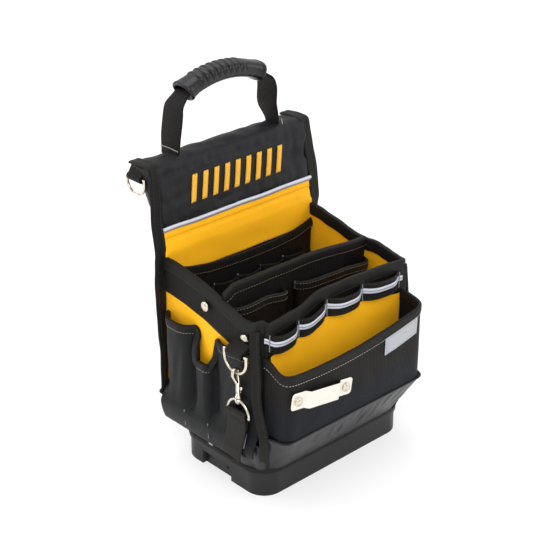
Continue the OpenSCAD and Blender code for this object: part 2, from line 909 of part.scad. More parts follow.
rim_rivet_rear_y = 22;
rim_rivet_rear_z = 222;
hem_rivet_y = 13;
snap_y = -48;
snap_rivet_z = 208;

// A rivet head on a face at x = -face
module side_rivet(face, y, z) {
    translate([-face, y, z]) rotate([0, -90, 0]) cylinder(r = rivet_radius, h = rivet_head);
}

module rim_rivets() {
    color(nickel) {
        both_sides() side_rivet(band_outer, rim_rivet_rear_y, rim_rivet_rear_z);
        side_rivet(band_outer + webbing, snap_y, snap_rivet_z);
        mirror([1, 0, 0]) side_rivet(band_outer, snap_y, snap_rivet_z);
    }
}

module hem_rivets() {
    low = rivet_radius + 2;
    slope = skirt_slope(skirt_rear - skirt_top_radius);
    color(nickel) both_sides()
        translate([-lip_half_width, hem_rivet_y, tray_height]) rotate([0, -slope, 0])
            translate([-seam_gap, 0, low]) rotate([0, -90, 0]) cylinder(r = rivet_radius, h = rivet_head);
}

// ---- Shoulder-strap rings ----

dring_rearward = 4;
dring_y = back_y(back_height) + back_thickness + wedge_depth / 2 + dring_rearward;
dring_tab_width = 26;
dring_hole = ring_wire + 2 * clearance;
dring_x = back_binding_outer + webbing + dring_hole / 2 + clearance;
dring_z = back_height - 18;

// Webbing loop round a ring bar that lies along Y at the origin
module bar_loop(width) {
    rotate([90, 0, 0]) difference() {
        cylinder(d = dring_hole + 2 * webbing, h = width, center = true);
        cylinder(d = dring_hole, h = width + 2 * through, center = true);
    }
}

module dring_tabs() {
    color(webbing_black) both_sides() translate([-dring_x, dring_y, dring_z]) {
        bar_loop(dring_tab_width);
        difference() {
            translate([dring_x - back_binding_outer - webbing, -dring_tab_width / 2, 0])
                cube([webbing, dring_tab_width, back_height - dring_z - layer]);
            rotate([90, 0, 0]) cylinder(d = dring_hole, h = 2 * dring_tab_width, center = true);
        }
    }
}

module dring_left() {
    color(nickel) translate([-dring_x, dring_y, dring_z])
        d_ring(shoulder_ring_width, shoulder_ring_drop, ring_wire);
}

module dring_right() {
    color(nickel) translate([dring_x, dring_y, dring_z])
        d_ring(shoulder_ring_width, shoulder_ring_drop, ring_wire);
}

// ---- Carry handle ----

handle_x = 2;
handle_forward = 1;
handle_y = back_y(back_height) + back_thickness + wedge_depth / 2 - handle_forward;
leg_thickness = 3;
knuckle = leg_width / 2;
handle_axis_z = back_height + knuckle + 1;
handle_fold = 60;
root_top_z = handle_axis_z - knuckle * tan(handle_fold / 2) - 4 * clearance;
leg_bend = 14;
grip_centre_z = back_height + handle_rise - grip_thickness / 2 - grip_arch;
leg_angle = asin((handle_span / 2 - leg_bend) / (grip_arch - leg_bend));
leg_top_z = grip_centre_z + (grip_arch - leg_bend) * cos(leg_angle);
bare_angle = 4;
grip_angle = leg_angle - bare_angle;

// The right half of the handle's centre line as [x, z, angle of its outward normal from upright]
function handle_path() = concat(
    [for (i = [0 : 12]) let(a = leg_angle * i / 12)
        [grip_arch * sin(a), grip_centre_z + grip_arch * cos(a), a]],
    [for (i = [1 : 8]) let(a = leg_angle + (90 - leg_angle) * i / 8)
        [handle_span / 2 - leg_bend + leg_bend * sin(a), leg_top_z + leg_bend * cos(a), a]],
    [[handle_span / 2, handle_axis_z, 90]]
);
// The path moved out along its normals
function handle_edge(out, side) = [for (p = handle_path()) [side * (p[0] + out * sin(p[2])), p[1] + out * cos(p[2])]];
function reversed(list) = [for (i = [len(list) - 1 : -1 : 0]) list[i]];

// XZ plan of the handle's webbing: arch, two bends and two legs down to the axis
module handle_plan(thickness) {
    polygon(concat(
        reversed(handle_edge(thickness / 2, -1)), handle_edge(thickness / 2, 1),
        reversed(handle_edge(-thickness / 2, 1)), handle_edge(-thickness / 2, -1)
    ));
}

module handle_webbing() {
    color(webbing_black) translate([handle_x, handle_y, 0]) {
        along_y(-leg_width / 2, leg_width / 2) handle_plan(leg_thickness);
        for (side = [-1, 1])
            translate([side * handle_span / 2 - leg_thickness / 2, 0, handle_axis_z]) rotate([0, 90, 0])
                cylinder(r = knuckle, h = leg_thickness);
    }
}

module handle_roots() {
    color(webbing_black) translate([handle_x, handle_y, 0]) for (side = [-1, 1]) difference() {
        translate([side * handle_span / 2 - leg_thickness / 2, -leg_width / 2, back_height])
            cube([leg_thickness, leg_width, root_top_z - back_height]);
        translate([side * handle_span / 2 - leg_thickness, 0, handle_axis_z]) {
            rotate([0, 90, 0]) cylinder(r = knuckle + clearance, h = 2 * leg_thickness);
            for (fold = [-handle_fold, handle_fold]) rotate([fold, 0, 0])
                translate([0, -knuckle - clearance, 0])
                    cube([2 * leg_thickness, 2 * (knuckle + clearance), leg_width]);
        }
    }
}

// Cross-section of the grip, as a stadium across the arch at the grip's radius
module grip_section(grow) {
    round = grip_thickness / 2 + grow;
    flat = (grip_width - grip_thickness) / 2;
    translate([grip_arch, 0]) {
        square([2 * round, 2 * flat], center = true);
        for (side = [-1, 1]) translate([0, side * flat]) circle(round);
    }
}

// Turns a section about the arch's centre, from -half to half either side of the top
module arch_sweep(half) {
    translate([0, 0, grip_centre_z]) rotate([90, 0, 0]) rotate([0, 0, 90 - half])
        rotate_extrude(angle = 2 * half, $fn = 180) children();
}

module handle_grip() {
    slot = leg_thickness + 2 * clearance;
    smooth_angle = 7;
    rib_pitch = 2 * (grip_angle - smooth_angle) / rib_count;
    rib_grow = 1.4;
    color("#353231") translate([handle_x, handle_y, 0]) difference() {
        union() {
            arch_sweep(grip_angle) grip_section(0);
            for (i = [0 : rib_count - 1]) translate([0, 0, grip_centre_z])
                rotate([0, (i - (rib_count - 1) / 2) * rib_pitch, 0]) translate([0, 0, -grip_centre_z])
                    arch_sweep(rib_pitch / 4) intersection() {
                        grip_section(rib_grow);
                        translate([grip_arch, -grip_width]) square([grip_width, 2 * grip_width]);
                    }
        }
        arch_sweep(grip_angle + 2)
            translate([grip_arch - slot / 2, -leg_width / 2 - clearance])
                square([slot, leg_width + 2 * clearance]);
    }
}

// ---- Snap hook on the left side ----

// The ring hangs from a tab under the rim band; the hook clips it to a strap sewn in at the side seam
snap_wire = 3;
eye_hole = snap_wire + 2 * clearance;
strap_axis_z = side_seam_height;
strap_x = -skirt_top_x(snap_y + strap_width / 2) - clearance - webbing / 2 - seam_gap;
bolt_x = strap_x - eye_hole / 2 - webbing / 2;
hook_bow = 4;
snap_x = hook_bow - bolt_x;
snap_ring_z = snap_rivet_z - 12;
snap_tab_width = 28;
bow_z = snap_ring_z - snap_ring_drop;
hook_gap = 1.5;
hook_z = bow_z + ring_wire / 2 + hook_gap + snap_wire / 2 - hook_bow;
bolt_diameter = 2.8;
bolt_travel = 7;
barrel_diameter = 6;
barrel_height = 18;
barrel_top = hook_z - 15;
barrel_low = barrel_top - barrel_height;
collar_height = 3;
eye_hub_height = 4.5;
eye_hub_top = barrel_low - collar_height - clearance;
eye_hub_z = eye_hub_top - eye_hub_height / 2;
eye_width = 38;
eye_bow = (eye_width - snap_wire) / 2;
eye_bar_z = eye_hub_z - eye_bow;
stem_diameter = 3.4;
stem_head = 6;

module at_snap(z) {
    translate([bolt_x, snap_y, z]) children();
}

// XZ plan of the webbing tab: a plate under the rivet, a run out to the ring and a loop round its bar
module snap_tab_plan() {
    plate_low = snap_rivet_z - rivet_radius - webbing;
    plate_top = snap_rivet_z + rivet_radius + webbing;
    loop_top = snap_ring_z + dring_hole / 2 + webbing;
    difference() {
        union() {
            translate([-band_outer - webbing, plate_low]) square([webbing, plate_top - plate_low]);
            polygon([
                [-band_outer, plate_low], [-band_outer, plate_low + webbing],
                [-snap_x, loop_top], [-snap_x, loop_top - webbing]
            ]);
            translate([-snap_x, snap_ring_z]) circle(d = dring_hole + 2 * webbing);
        }
        translate([-snap_x, snap_ring_z]) circle(d = dring_hole);
    }
}

module snap_tab() {
    color(webbing_black) translate([0, snap_y, 0])
        along_y(-snap_tab_width / 2, snap_tab_width / 2) snap_tab_plan();
}

module snap_ring() {
    color(nickel) translate([-snap_x, snap_y, snap_ring_z]) d_ring(snap_ring_width, snap_ring_drop, ring_wire);
}

// XZ plan of the hook's arm: up from the barrel, outward, and over the ring to meet the bolt
module hook_plan() {
    half = snap_wire / 2;
    bend_drop = 5;
    arm_x = -2 * hook_bow;
    arm_low = hook_z - bend_drop;
    foot = barrel_top - bend_drop;
    translate([-hook_bow, hook_z]) intersection() {
        difference() {
            circle(hook_bow + half);
            circle(hook_bow - half);
        }
        translate([-2 * hook_bow, 0]) square([4 * hook_bow, 2 * hook_bow]);
    }
    polygon([
        [arm_x - half, hook_z], [arm_x - half, arm_low], [-barrel_diameter / 4, foot],
        [-barrel_diameter / 4, foot + snap_wire * 2], [arm_x + half, arm_low + half], [arm_x + half, hook_z]
    ]);
}

// Hook: collar, barrel with the bolt's bore, the arm bent over the ring, and the swivel stem below
module snap_hook() {
    bore = bolt_diameter + 2 * clearance;
    rim = 2;
    slot_low = barrel_low + 2 * rim;
    head_height = 1.5;
    stem_low = eye_hub_top - eye_hub_height - clearance - head_height;
    color(nickel) at_snap(0) {
        difference() {
            union() {
                translate([0, 0, barrel_low]) cylinder(d = barrel_diameter, h = barrel_top - barrel_low);
                along_y(-snap_wire / 2, snap_wire / 2) hook_plan();
            }
            translate([0, 0, barrel_low + 1]) cylinder(d = bore, h = barrel_top - barrel_low);
            translate([-bore / 2 + clearance, -barrel_diameter, slot_low])
                cube([bore - 2 * clearance, barrel_diameter, barrel_top - slot_low - rim]);
        }
        translate([0, 0, barrel_low - collar_height])
            cylinder(d = barrel_diameter + 2, h = collar_height);
        translate([0, 0, stem_low]) cylinder(d = stem_diameter, h = barrel_low - collar_height - stem_low);
        translate([0, 0, stem_low]) cylinder(d = stem_head, h = head_height);
    }
}

module snap_bolt() {
    knob_z = barrel_top - 6;
    color(nickel) at_snap(0) {
        translate([0, 0, barrel_low + 1 + bolt_travel + 1])
            cylinder(d = bolt_diameter, h = hook_z - barrel_low - bolt_travel - 2 - seam_gap);
        translate([0, -barrel_diameter / 2 - 3, knob_z]) rotate([-90, 0, 0])
            cylinder(d = 2, h = barrel_diameter / 2 + 3);
        translate([0, -barrel_diameter / 2 - 4, knob_z]) rotate([-90, 0, 0])
            cylinder(d = 4.4, h = 3);
    }
}

module bolt_spring() {
    color(silver) at_snap(barrel_low + 1) difference() {
        cylinder(d = bolt_diameter - 0.2, h = bolt_travel + 1);
        translate([0, 0, -through]) cylinder(d = bolt_diameter - 1.2, h = bolt_travel + 1 + 2 * through);
    }
}

// YZ plan of the eye's bow, a half ring with short feet that reach the bar's underside
module eye_plan() {
    half = snap_wire / 2;
    difference() {
        circle(eye_bow + half);
        circle(eye_bow - half);
        translate([-eye_width, -eye_width]) square([2 * eye_width, eye_width]);
    }
    for (side = [-1, 1]) translate([side * eye_bow - half, -half]) square([snap_wire, snap_wire]);
}

// Eye: round hub for the stem, half-round bow and a bar that the strap goes round
module snap_eye() {
    hub_low = eye_bow - eye_hub_height / 2;
    head_room = 2;
    color(nickel) at_snap(eye_bar_z) difference() {
        union() {
            along_x(-snap_wire / 2, snap_wire / 2) eye_plan();
            rotate([90, 0, 0]) cylinder(d = snap_wire, h = 2 * eye_bow, center = true);
            translate([0, 0, hub_low]) cylinder(d = 9, h = eye_hub_height);
        }
        translate([0, 0, eye_bow / 2]) cylinder(d = stem_diameter + 2 * clearance, h = eye_width);
        translate([0, 0, hub_low - head_room]) cylinder(d = stem_head + 2 * clearance, h = head_room);
    }
}

// Knuckle or its clearance at the strap's flexing line, along Y
module strap_knuckle(diameter) {
    translate([strap_x, snap_y, strap_axis_z]) rotate([90, 0, 0])
        cylinder(d = diameter, h = strap_width, center = true);
}

module snap_strap() {
    color(webbing_black) {
        at_snap(eye_bar_z) rotate([90, 0, 0]) difference() {
            cylinder(d = eye_hole + 2 * webbing, h = strap_width, center = true);
            cylinder(d = eye_hole, h = strap_width + 2 * through, center = true);
        }
        translate([strap_x - webbing / 2, snap_y - strap_width / 2, strap_axis_z])
            cube([webbing, strap_width, eye_bar_z - strap_axis_z]);
        strap_knuckle(webbing);
    }
}

// The sewn foot of the strap, lying on the sloping skirt
module snap_strap_root() {
    length = 18;
    rear = snap_y + strap_width / 2;
    color(webbing_black) difference() {
        translate([-skirt_top_x(rear) - clearance, rear - strap_width, strap_axis_z])
            rotate([0, -skirt_slope(rear), 0]) translate([-webbing, 0, -length])
                cube([webbing, strap_width, length]);
        for (shift = [-through, through])
            translate([0, shift, 0]) strap_knuckle(webbing + 2 * clearance);
    }
}

base_tray();
floor_board();
hem_skirt();
front_wall();
left_wall();
right_wall();
back_panel();
rim_band();
corner_bindings();
back_bindings();
upper_panel();
emblem_bars();
reflective_piping();
yellow_band();
back_pocket();
back_pocket_binding();
back_tool_loops();
back_wedge();
top_cover();
divider();
divider_binding();
divider_pocket_left();
divider_pocket_right();
front_pocket();
front_pocket_binding();
front_tool_loops();
reflective_ribbon();
tape_clip();
tape_clip_rivets();
label_patch();
left_pocket_front();
left_pocket_middle();
left_pocket_rear();
left_pocket_bindings();
right_pocket_front();
right_pocket_middle();
right_pocket_rear();
right_pocket_bindings();
rim_rivets();
hem_rivets();
dring_tabs();
dring_left();
dring_right();
handle_roots();
handle_webbing();
handle_grip();
snap_tab();
snap_ring();
snap_strap_root();
snap_strap();
snap_eye();
snap_hook();
snap_bolt();
bolt_spring();
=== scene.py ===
"""Looks of an open-top tool tote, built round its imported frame.

Lengths are millimetres in the frame's axes (front is -Y) until a surface becomes a mesh, which is in metres.
"""

import logging
import math
from dataclasses import dataclass, field
from enum import Enum
from typing import Callable, Optional, Sequence

import bpy
import numpy as np
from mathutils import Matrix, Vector
from mathutils.bvhtree import BVHTree


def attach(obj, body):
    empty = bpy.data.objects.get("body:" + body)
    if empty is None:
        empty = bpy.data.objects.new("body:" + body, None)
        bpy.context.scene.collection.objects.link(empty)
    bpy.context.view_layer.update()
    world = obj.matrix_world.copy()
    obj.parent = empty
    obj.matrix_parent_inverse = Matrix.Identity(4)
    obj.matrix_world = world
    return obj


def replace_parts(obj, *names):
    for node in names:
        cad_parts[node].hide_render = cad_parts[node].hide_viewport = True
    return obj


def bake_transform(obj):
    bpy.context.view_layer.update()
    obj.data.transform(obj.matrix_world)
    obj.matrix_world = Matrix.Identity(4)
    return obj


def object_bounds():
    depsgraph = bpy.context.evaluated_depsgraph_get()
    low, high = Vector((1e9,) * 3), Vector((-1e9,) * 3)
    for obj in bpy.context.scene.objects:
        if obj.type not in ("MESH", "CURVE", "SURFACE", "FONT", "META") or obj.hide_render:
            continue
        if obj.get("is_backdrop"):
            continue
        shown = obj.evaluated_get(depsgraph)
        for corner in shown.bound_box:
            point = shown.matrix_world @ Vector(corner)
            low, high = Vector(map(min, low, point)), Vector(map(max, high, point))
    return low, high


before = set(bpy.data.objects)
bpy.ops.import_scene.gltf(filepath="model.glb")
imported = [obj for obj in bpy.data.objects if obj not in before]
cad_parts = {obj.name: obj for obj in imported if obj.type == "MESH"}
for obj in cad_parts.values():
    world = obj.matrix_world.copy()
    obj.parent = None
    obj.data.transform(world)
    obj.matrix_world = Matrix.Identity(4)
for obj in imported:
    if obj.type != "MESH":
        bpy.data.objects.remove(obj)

LOG = logging.getLogger("tote")
MM = 0.001
Array = np.ndarray
RIGHTWARD = np.array([1.0, 0.0, 0.0])
REARWARD = np.array([0.0, 1.0, 0.0])
FORWARD = np.array([0.0, -1.0, 0.0])
UPWARD = np.array([0.0, 0.0, 1.0])
SHARP_EDGE = math.radians(35.0)
SHARP_FACE = math.radians(32.0)
WELD_REACH = 0.02 * MM


# ---------------------------------------------------------------- curves and surfaces


def ease(t: Array) -> Array:
    """Rises smoothly from 0 to 1: three t squared minus two t cubed, held at both ends."""
    t = np.clip(t, 0.0, 1.0)
    return t * t * (3.0 - 2.0 * t)


def hump(t: Array, power: float = 2.0) -> Array:
    """A hump over 0 to 1: one minus the distance from the middle raised to a power."""
    return 1.0 - np.abs(2.0 * np.clip(t, 0.0, 1.0) - 1.0) ** power


def unit(v: Array) -> Array:
    """Vectors scaled to length one."""
    return v / np.maximum(np.linalg.norm(v, axis=-1, keepdims=True), 1e-9)


def ripple(a: Array, b: Array, seed: int, waves: int = 7, low: float = 0.6, high: float = 2.2) -> Array:
    """A soft, repeatable unevenness between about -1 and 1.

    It is a sum of plane waves over the pair (a, b), with seeded directions, lengths and phases.

    Args:
        a: First coordinate, in wave lengths.
        b: Second coordinate, in wave lengths.
        seed: Picks the waves.
        waves: How many waves are added.
        low: Smallest frequency.
        high: Largest frequency.

    Returns:
        The unevenness at each point.
    """
    rng = np.random.default_rng(seed)
    turn = rng.uniform(0.0, math.tau, waves)
    rate = rng.uniform(low, high, waves)
    phase = rng.uniform(0.0, math.tau, waves)
    share = 1.0 / rate
    total = sum(
        s * np.sin(math.tau * r * (a * math.cos(t) + b * math.sin(t)) + p)
        for s, r, t, p in zip(share, rate, turn, phase)
    )
    return total / share.sum() * 1.6


def resample(points: Array, step: float) -> Array:
    """Points at an even spacing along a polyline.

    Args:
        points: The polyline, one point a row.
        step: About how far apart the new points are.

    Returns:
        The evenly spaced points, both ends kept.
    """
    run = np.concatenate([[0.0], np.cumsum(np.linalg.norm(np.diff(points, axis=0), axis=1))])
    count = max(2, int(round(run[-1] / step)) + 1)
    at = np.linspace(0.0, run[-1], count)
    return np.stack([np.interp(at, run, points[:, k]) for k in range(points.shape[1])], axis=1)


def rounded(points: Sequence[Sequence[float]], radius: float, step: float = 1.5) -> Array:
    """A polyline whose inner corners are rounded by quadratic curves that start a radius from each corner.

    Args:
        points: Corners of the polyline.
        radius: Distance from a corner at which its curve starts.
        step: Spacing of the returned points.

    Returns:
        Evenly spaced points of the rounded line.
    """
    corners = np.asarray(points, float)
    t = np.linspace(0.0, 1.0, 9)[:, None]
    pieces = [corners[:1]]
    for before, corner, after in zip(corners[:-2], corners[1:-1], corners[2:]):
        reach_in = min(radius, np.linalg.norm(corner - before) / 2)
        reach_out = min(radius, np.linalg.norm(after - corner) / 2)
        start = corner + unit(before - corner) * reach_in
        stop = corner + unit(after - corner) * reach_out
        pieces.append((1 - t) ** 2 * start + 2 * t * (1 - t) * corner + t**2 * stop)
    pieces.append(corners[-1:])
    return resample(np.concatenate(pieces), step)


def spline(points: Sequence[Sequence[float]], step: float = 2.0) -> Array:
    """A smooth curve through points: Catmull-Rom cubics, then evenly spaced.

    Args:
        points: Points that the curve passes through.
        step: Spacing of the returned points.

    Returns:
        Evenly spaced points of the curve.
    """
    p = np.asarray(points, float)
    p = np.concatenate([[2 * p[0] - p[1]], p, [2 * p[-1] - p[-2]]])
    t = np.linspace(0.0, 1.0, 12, endpoint=False)[:, None]
    parts = [
        0.5
        * (
            2 * b
            + (c - a) * t
            + (2 * a - 5 * b + 4 * c - d) * t**2
            + (3 * b - a - 3 * c + d) * t**3
        )
        for a, b, c, d in zip(p[:-3], p[1:-2], p[2:-1], p[3:])
    ]
    return resample(np.concatenate([*parts, p[-2:-1]]), step)


def tangents(path: Array, closed: bool = False) -> Array:
    """Unit directions along a path, from the neighbours of each point."""
    if closed:
        return unit(np.roll(path, -1, axis=0) - np.roll(path, 1, axis=0))
    return unit(np.gradient(path, axis=0))


def sweep(path: Array, profile: Array, out: Array, closed: bool = False, up: Optional[Array] = None) -> Array:
    """A profile carried along a path.

    At each path point the profile's first coordinate runs along `out` and its second along `up`, which
    is the path's direction crossed with `out` unless it is given.

    Args:
        path: Points of the path.
        profile: Points of the profile, two coordinates each, or one profile for each path point.
        out: One direction, or a direction for each path point.
        closed: Whether the path closes on itself.
        up: Direction of the profile's second coordinate.

    Returns:
        A grid of points, path along rows and profile along columns.
    """
    along = tangents(path, closed)
    first = np.broadcast_to(np.asarray(out, float), path.shape)
    first = unit(first - (first * along).sum(1, keepdims=True) * along)
    second = np.cross(along, first) if up is None else np.broadcast_to(np.asarray(up, float), path.shape)
    shape = np.broadcast_to(profile, (len(path), *profile.shape[-2:]))
    return path[:, None] + shape[..., :1] * first[:, None] + shape[..., 1:] * second[:, None]


def circle(radius: float, count: int = 16) -> Array:
    """Points of a circle, as a closed profile."""
    a = np.linspace(0.0, math.tau, count, endpoint=False)
    return np.stack([radius * np.cos(a), radius * np.sin(a)], axis=1)


def stadium(width: float, height: float, count: int = 32, power: float = 4.0) -> Array:
    """A rounded oblong profile, a superellipse: both coordinates raised to a power add up to one."""
    a = np.linspace(0.0, math.tau, count, endpoint=False)
    c, s = np.cos(a), np.sin(a)
    share = 2.0 / power
    x = np.sign(c) * np.abs(c) ** share * width / 2
    y = np.sign(s) * np.abs(s) ** share * height / 2
    return np.stack([x, y], axis=1)


def strip(width: float, thickness: float) -> Array:
    """A flat strip's closed profile with rounded edges, its width along the second coordinate."""
    r = thickness / 2
    a = np.linspace(-math.pi / 2, math.pi / 2, 6)
    high = np.stack([-r * np.sin(a), width / 2 - r + r * np.cos(a)], axis=1)
    flat = np.linspace(width / 2 - r, r - width / 2, max(3, int(width / 3)))[1:-1]
    back = np.stack([np.full(len(flat), -r), flat], axis=1)
    low = np.stack([r * np.sin(a), r - width / 2 - r * np.cos(a)], axis=1)
    face = np.stack([np.full(len(flat), r), flat[::-1]], axis=1)
    return np.concatenate([high, back, low, face])


class Side(Enum):
    """A side of the tote, seen from the front."""

    LEFT = -1
    RIGHT = 1


@dataclass
class Surface:
    """Point grids and faces that become one mesh."""

    points: list[Array] = field(default_factory=list)
    faces: list[Array] = field(default_factory=list)
    uvs: list[Array] = field(default_factory=list)
    count: int = 0

    def grid(
        self,
        grid: Array,
        wrap_rows: bool = False,
        wrap_columns: bool = False,
        caps: bool = False,
        flip: bool = False,
    ) -> "Surface":
        """Adds a grid of quads whose UVs are the lengths along its rows and columns, in metres.

        Args:
            grid: Points by row, column and coordinate.
            wrap_rows: Whether the last row joins the first.
            wrap_columns: Whether the last column joins the first.
            caps: Whether both end rings of a wrapped grid are closed by a fan of triangles.
            flip: Whether the faces are turned over.

        Returns:
            This surface.
        """
        rows, columns = grid.shape[:2]
        r = np.arange(rows if wrap_rows else rows - 1)
        c = np.arange(columns if wrap_columns else columns - 1)
        rr, cc = np.meshgrid(r, c, indexing="ij")
        r2, c2 = (rr + 1) % rows, (cc + 1) % columns
        here, onward = rr * columns, r2 * columns
        quads = np.stack([here + cc, onward + cc, onward + c2, here + c2], axis=-1)
        down = np.linalg.norm(np.diff(grid, axis=0, append=grid[:1]), axis=-1).mean(1)
        across = np.linalg.norm(np.diff(grid, axis=1, append=grid[:, :1]), axis=-1).mean(0)
        u = np.concatenate([[0.0], np.cumsum(down)]) * MM
        v = np.concatenate([[0.0], np.cumsum(across)]) * MM
        corner = [(rr, cc), (rr + 1, cc), (rr + 1, cc + 1), (rr, cc + 1)]
        uv = np.stack([np.stack([u[a], v[b]], axis=-1) for a, b in corner], axis=-2)
        quads, uv = quads.reshape(-1, 4), uv.reshape(-1, 4, 2)
        self._add(grid.reshape(-1, 3), quads[:, ::-1] if flip else quads, uv[:, ::-1] if flip else uv)
        if caps:
            self._cap(grid[0], not flip)
            self._cap(grid[-1], flip)
        return self

    def _cap(self, ring: Array, turn: bool) -> None:
        """Closes a ring by a fan of triangles round its middle."""
        n = len(ring)
        i = np.arange(n)
        fan = np.stack([i, (i + 1) % n, np.full(n, n)], axis=1)
        flat = ring - ring.mean(0)
        u = np.concatenate([flat @ unit(ring[0] - ring.mean(0)), [0.0]]) * MM
        v = np.concatenate([flat @ unit(ring[n // 4] - ring.mean(0)), [0.0]]) * MM
        order = fan[:, ::-1] if turn else fan
        self._add(np.concatenate([ring, [ring.mean(0)]]), order, np.stack([u[order], v[order]], axis=-1))

    def _add(self, points: Array, faces: Array, uv: Array) -> None:
        """Adds points with faces of three or four corners and their UVs."""
        self.points.append(points)
        self.faces.append(faces + self.count)
        self.uvs.append(uv)
        self.count += len(points)

    def copies(self, shape: Array, quads: Array, places: Array) -> "Surface":
        """Adds a small shape many times.

        Args:
            shape: Points of the shape.
            quads: Its faces, four corners each.
            places: For each copy a 4 x 3 block: its origin and the directions of its three axes.

        Returns:
            This surface.
        """
        points = places[:, :1] + np.einsum("pk,ckj->cpj", shape, places[:, 1:])
        faces = quads[None] + (np.arange(len(places)) * len(shape))[:, None, None]
        uv = np.broadcast_to((shape[quads][..., :2] * MM)[None], (len(places), *quads.shape, 2))
        self._add(points.reshape(-1, 3), faces.reshape(-1, quads.shape[1]), uv.reshape(-1, quads.shape[1], 2))
        return self

    def join(self, other: "Surface") -> "Surface":
        """Adds another surface's blocks."""
        for points, faces, uv, start in zip(other.points, other.faces, other.uvs, other._starts()):
            self._add(points, faces - start, uv)
        return self

    def _starts(self) -> list[int]:
        """Number of points before each block."""
        return list(np.cumsum([0] + [len(p) for p in self.points[:-1]]))

    def build(self, name: str, body: Optional[str], finish: "Finish") -> bpy.types.Object:
        """Makes the mesh object, shaded smooth and riding on a body.

        Args:
            name: The piece's name.
            body: Body of the frame that it rides on, or None to leave it on no body.
            finish: Its finish.

        Returns:
            The new object.
        """
        points = np.concatenate(self.points) * MM
        sizes = np.concatenate([np.full(len(f), f.shape[1]) for f in self.faces])
        corners = np.concatenate([f.ravel() for f in self.faces])
        uv = np.concatenate([u.reshape(-1, 2) for u in self.uvs])
        mesh = bpy.data.meshes.new(name)
        mesh.vertices.add(len(points))
        mesh.vertices.foreach_set("co", points.astype(np.float32).ravel())
        mesh.loops.add(len(corners))
        mesh.loops.foreach_set("vertex_index", corners.astype(np.int32))
        mesh.polygons.add(len(sizes))
        starts = np.concatenate([[0], np.cumsum(sizes)[:-1]])
        mesh.polygons.foreach_set("loop_start", starts.astype(np.int32))
        shade_smooth(mesh)
        layer = mesh.uv_layers.new(name="cloth")
        mesh.update(calc_edges=True)
        layer.data.foreach_set("uv", uv.astype(np.float32).ravel())
        mesh.validate()
        piece = bpy.data.objects.new(name, mesh)
        bpy.context.scene.collection.objects.link(piece)
        finish.dress(piece)
        if body:
            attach(piece, body)
        LOG.info("%s: %d points on %s", name, len(points), body)
        return piece


def shade_smooth(mesh: bpy.types.Mesh) -> None:
    """Shades every face of a mesh smooth."""
    mesh.polygons.foreach_set("use_smooth", np.ones(len(mesh.polygons), bool))


def gathered(items: bpy.types.bpy_prop_collection, name: str, width: int, kind: type = np.float32) -> Array:
    """A property of every item in a mesh's collection, one row of a width for each item."""
    values = np.empty(len(items) * width, kind)
    items.foreach_get(name, values)
    return values.reshape(-1, width)


def thicken(
    piece: bpy.types.Object, thickness: float, offset: float = -1.0, even: bool = True
) -> bpy.types.Object:
    """Gives a sheet its thickness.

    Args:
        piece: The sheet.
        thickness: Its thickness.
        offset: -1 puts it inward of the faces, 1 outward and 0 on both sides.
        even: Whether the thickness is kept at corners.

    Returns:
        The piece.
    """
    wall = piece.modifiers.new("wall", "SOLIDIFY")
    wall.thickness = thickness * MM
    wall.offset = offset
    wall.use_even_offset = even
    wall.thickness_clamp = 1.2
    return piece


def soften(piece: bpy.types.Object, width: float, segments: int = 2) -> bpy.types.Object:
    """Rounds the hard edges of a rigid piece."""
    edge = piece.modifiers.new("edge", "BEVEL")
    edge.width = width * MM
    edge.segments = segments
    edge.limit_method = "ANGLE"
    edge.angle_limit = SHARP_EDGE
    edge.harden_normals = False
    return piece


def weld(piece: bpy.types.Object) -> bpy.types.Object:
    """Merges points that fall together, so that edges between blocks are shared."""
    join = piece.modifiers.new("weld", "WELD")
    join.merge_threshold = WELD_REACH
    return piece


STITCH_SIDES = 5


def stitch_shape(length: float, radius: float) -> tuple[Array, Array]:
    """A thread's short arch: a five-sided tube, thick in the middle and sunk at both ends.

    Its radius follows a half ellipse along its length and its height a low arch.

    Args:
        length: Length of the stitch.
        radius: Radius of the thread.

    Returns:
        Its points, with length along the first axis and height along the third, and its quads.
    """
    t = np.linspace(-1.0, 1.0, 5)
    a = np.linspace(0.0, math.tau, STITCH_SIDES, endpoint=False)
    thick = radius * np.sqrt(np.clip(1.06 - t**2, 0.0, 1.0))
    x = np.broadcast_to((t * length / 2)[:, None], (5, STITCH_SIDES))
    y = thick[:, None] * np.cos(a)
    z = thick[:, None] * np.sin(a) + radius * (0.9 - 1.5 * t**2)[:, None]
    points = np.stack([x, y, z], axis=-1).reshape(-1, 3)
    r, c = np.meshgrid(np.arange(4), np.arange(STITCH_SIDES), indexing="ij")
    c2 = (c + 1) % STITCH_SIDES
    here, onward = r * STITCH_SIDES, (r + 1) * STITCH_SIDES
    quads = np.stack([here + c, onward + c, onward + c2, here + c2], -1)
    return points, quads.reshape(-1, 4)[:, ::-1]


def stitches(
    surface: Surface,
    path: Array,
    normal: Array,
    pitch: float = 4.0,
    length: float = 2.9,
    radius: float = 0.42,
) -> Surface:
    """Adds a row of stitches along a path that lies on a cloth.

    Args:
        surface: The surface that takes them.
        path: Points of the seam.
        normal: Direction off the cloth, one or one for each point.
        pitch: Distance from one stitch to the next.
        length: Length of a stitch.
        radius: Radius of the thread.

    Returns:
        The surface.
    """
    both = np.concatenate([path, np.broadcast_to(np.asarray(normal, float), path.shape)], axis=1)
    run = np.concatenate([[0.0], np.cumsum(np.linalg.norm(np.diff(path, axis=0), axis=1))])
    at = np.arange(pitch / 2, run[-1], pitch)
    if len(at) < 2:
        return surface
    picked = np.stack([np.interp(at, run, both[:, k]) for k in range(6)], axis=1)
    along = tangents(picked[:, :3])
    up = unit(picked[:, 3:] - (picked[:, 3:] * along).sum(1, keepdims=True) * along)
    places = np.stack([picked[:, :3], along, np.cross(up, along), up], axis=1)
    points, quads = stitch_shape(length, radius)
    return surface.copies(points, quads, places)


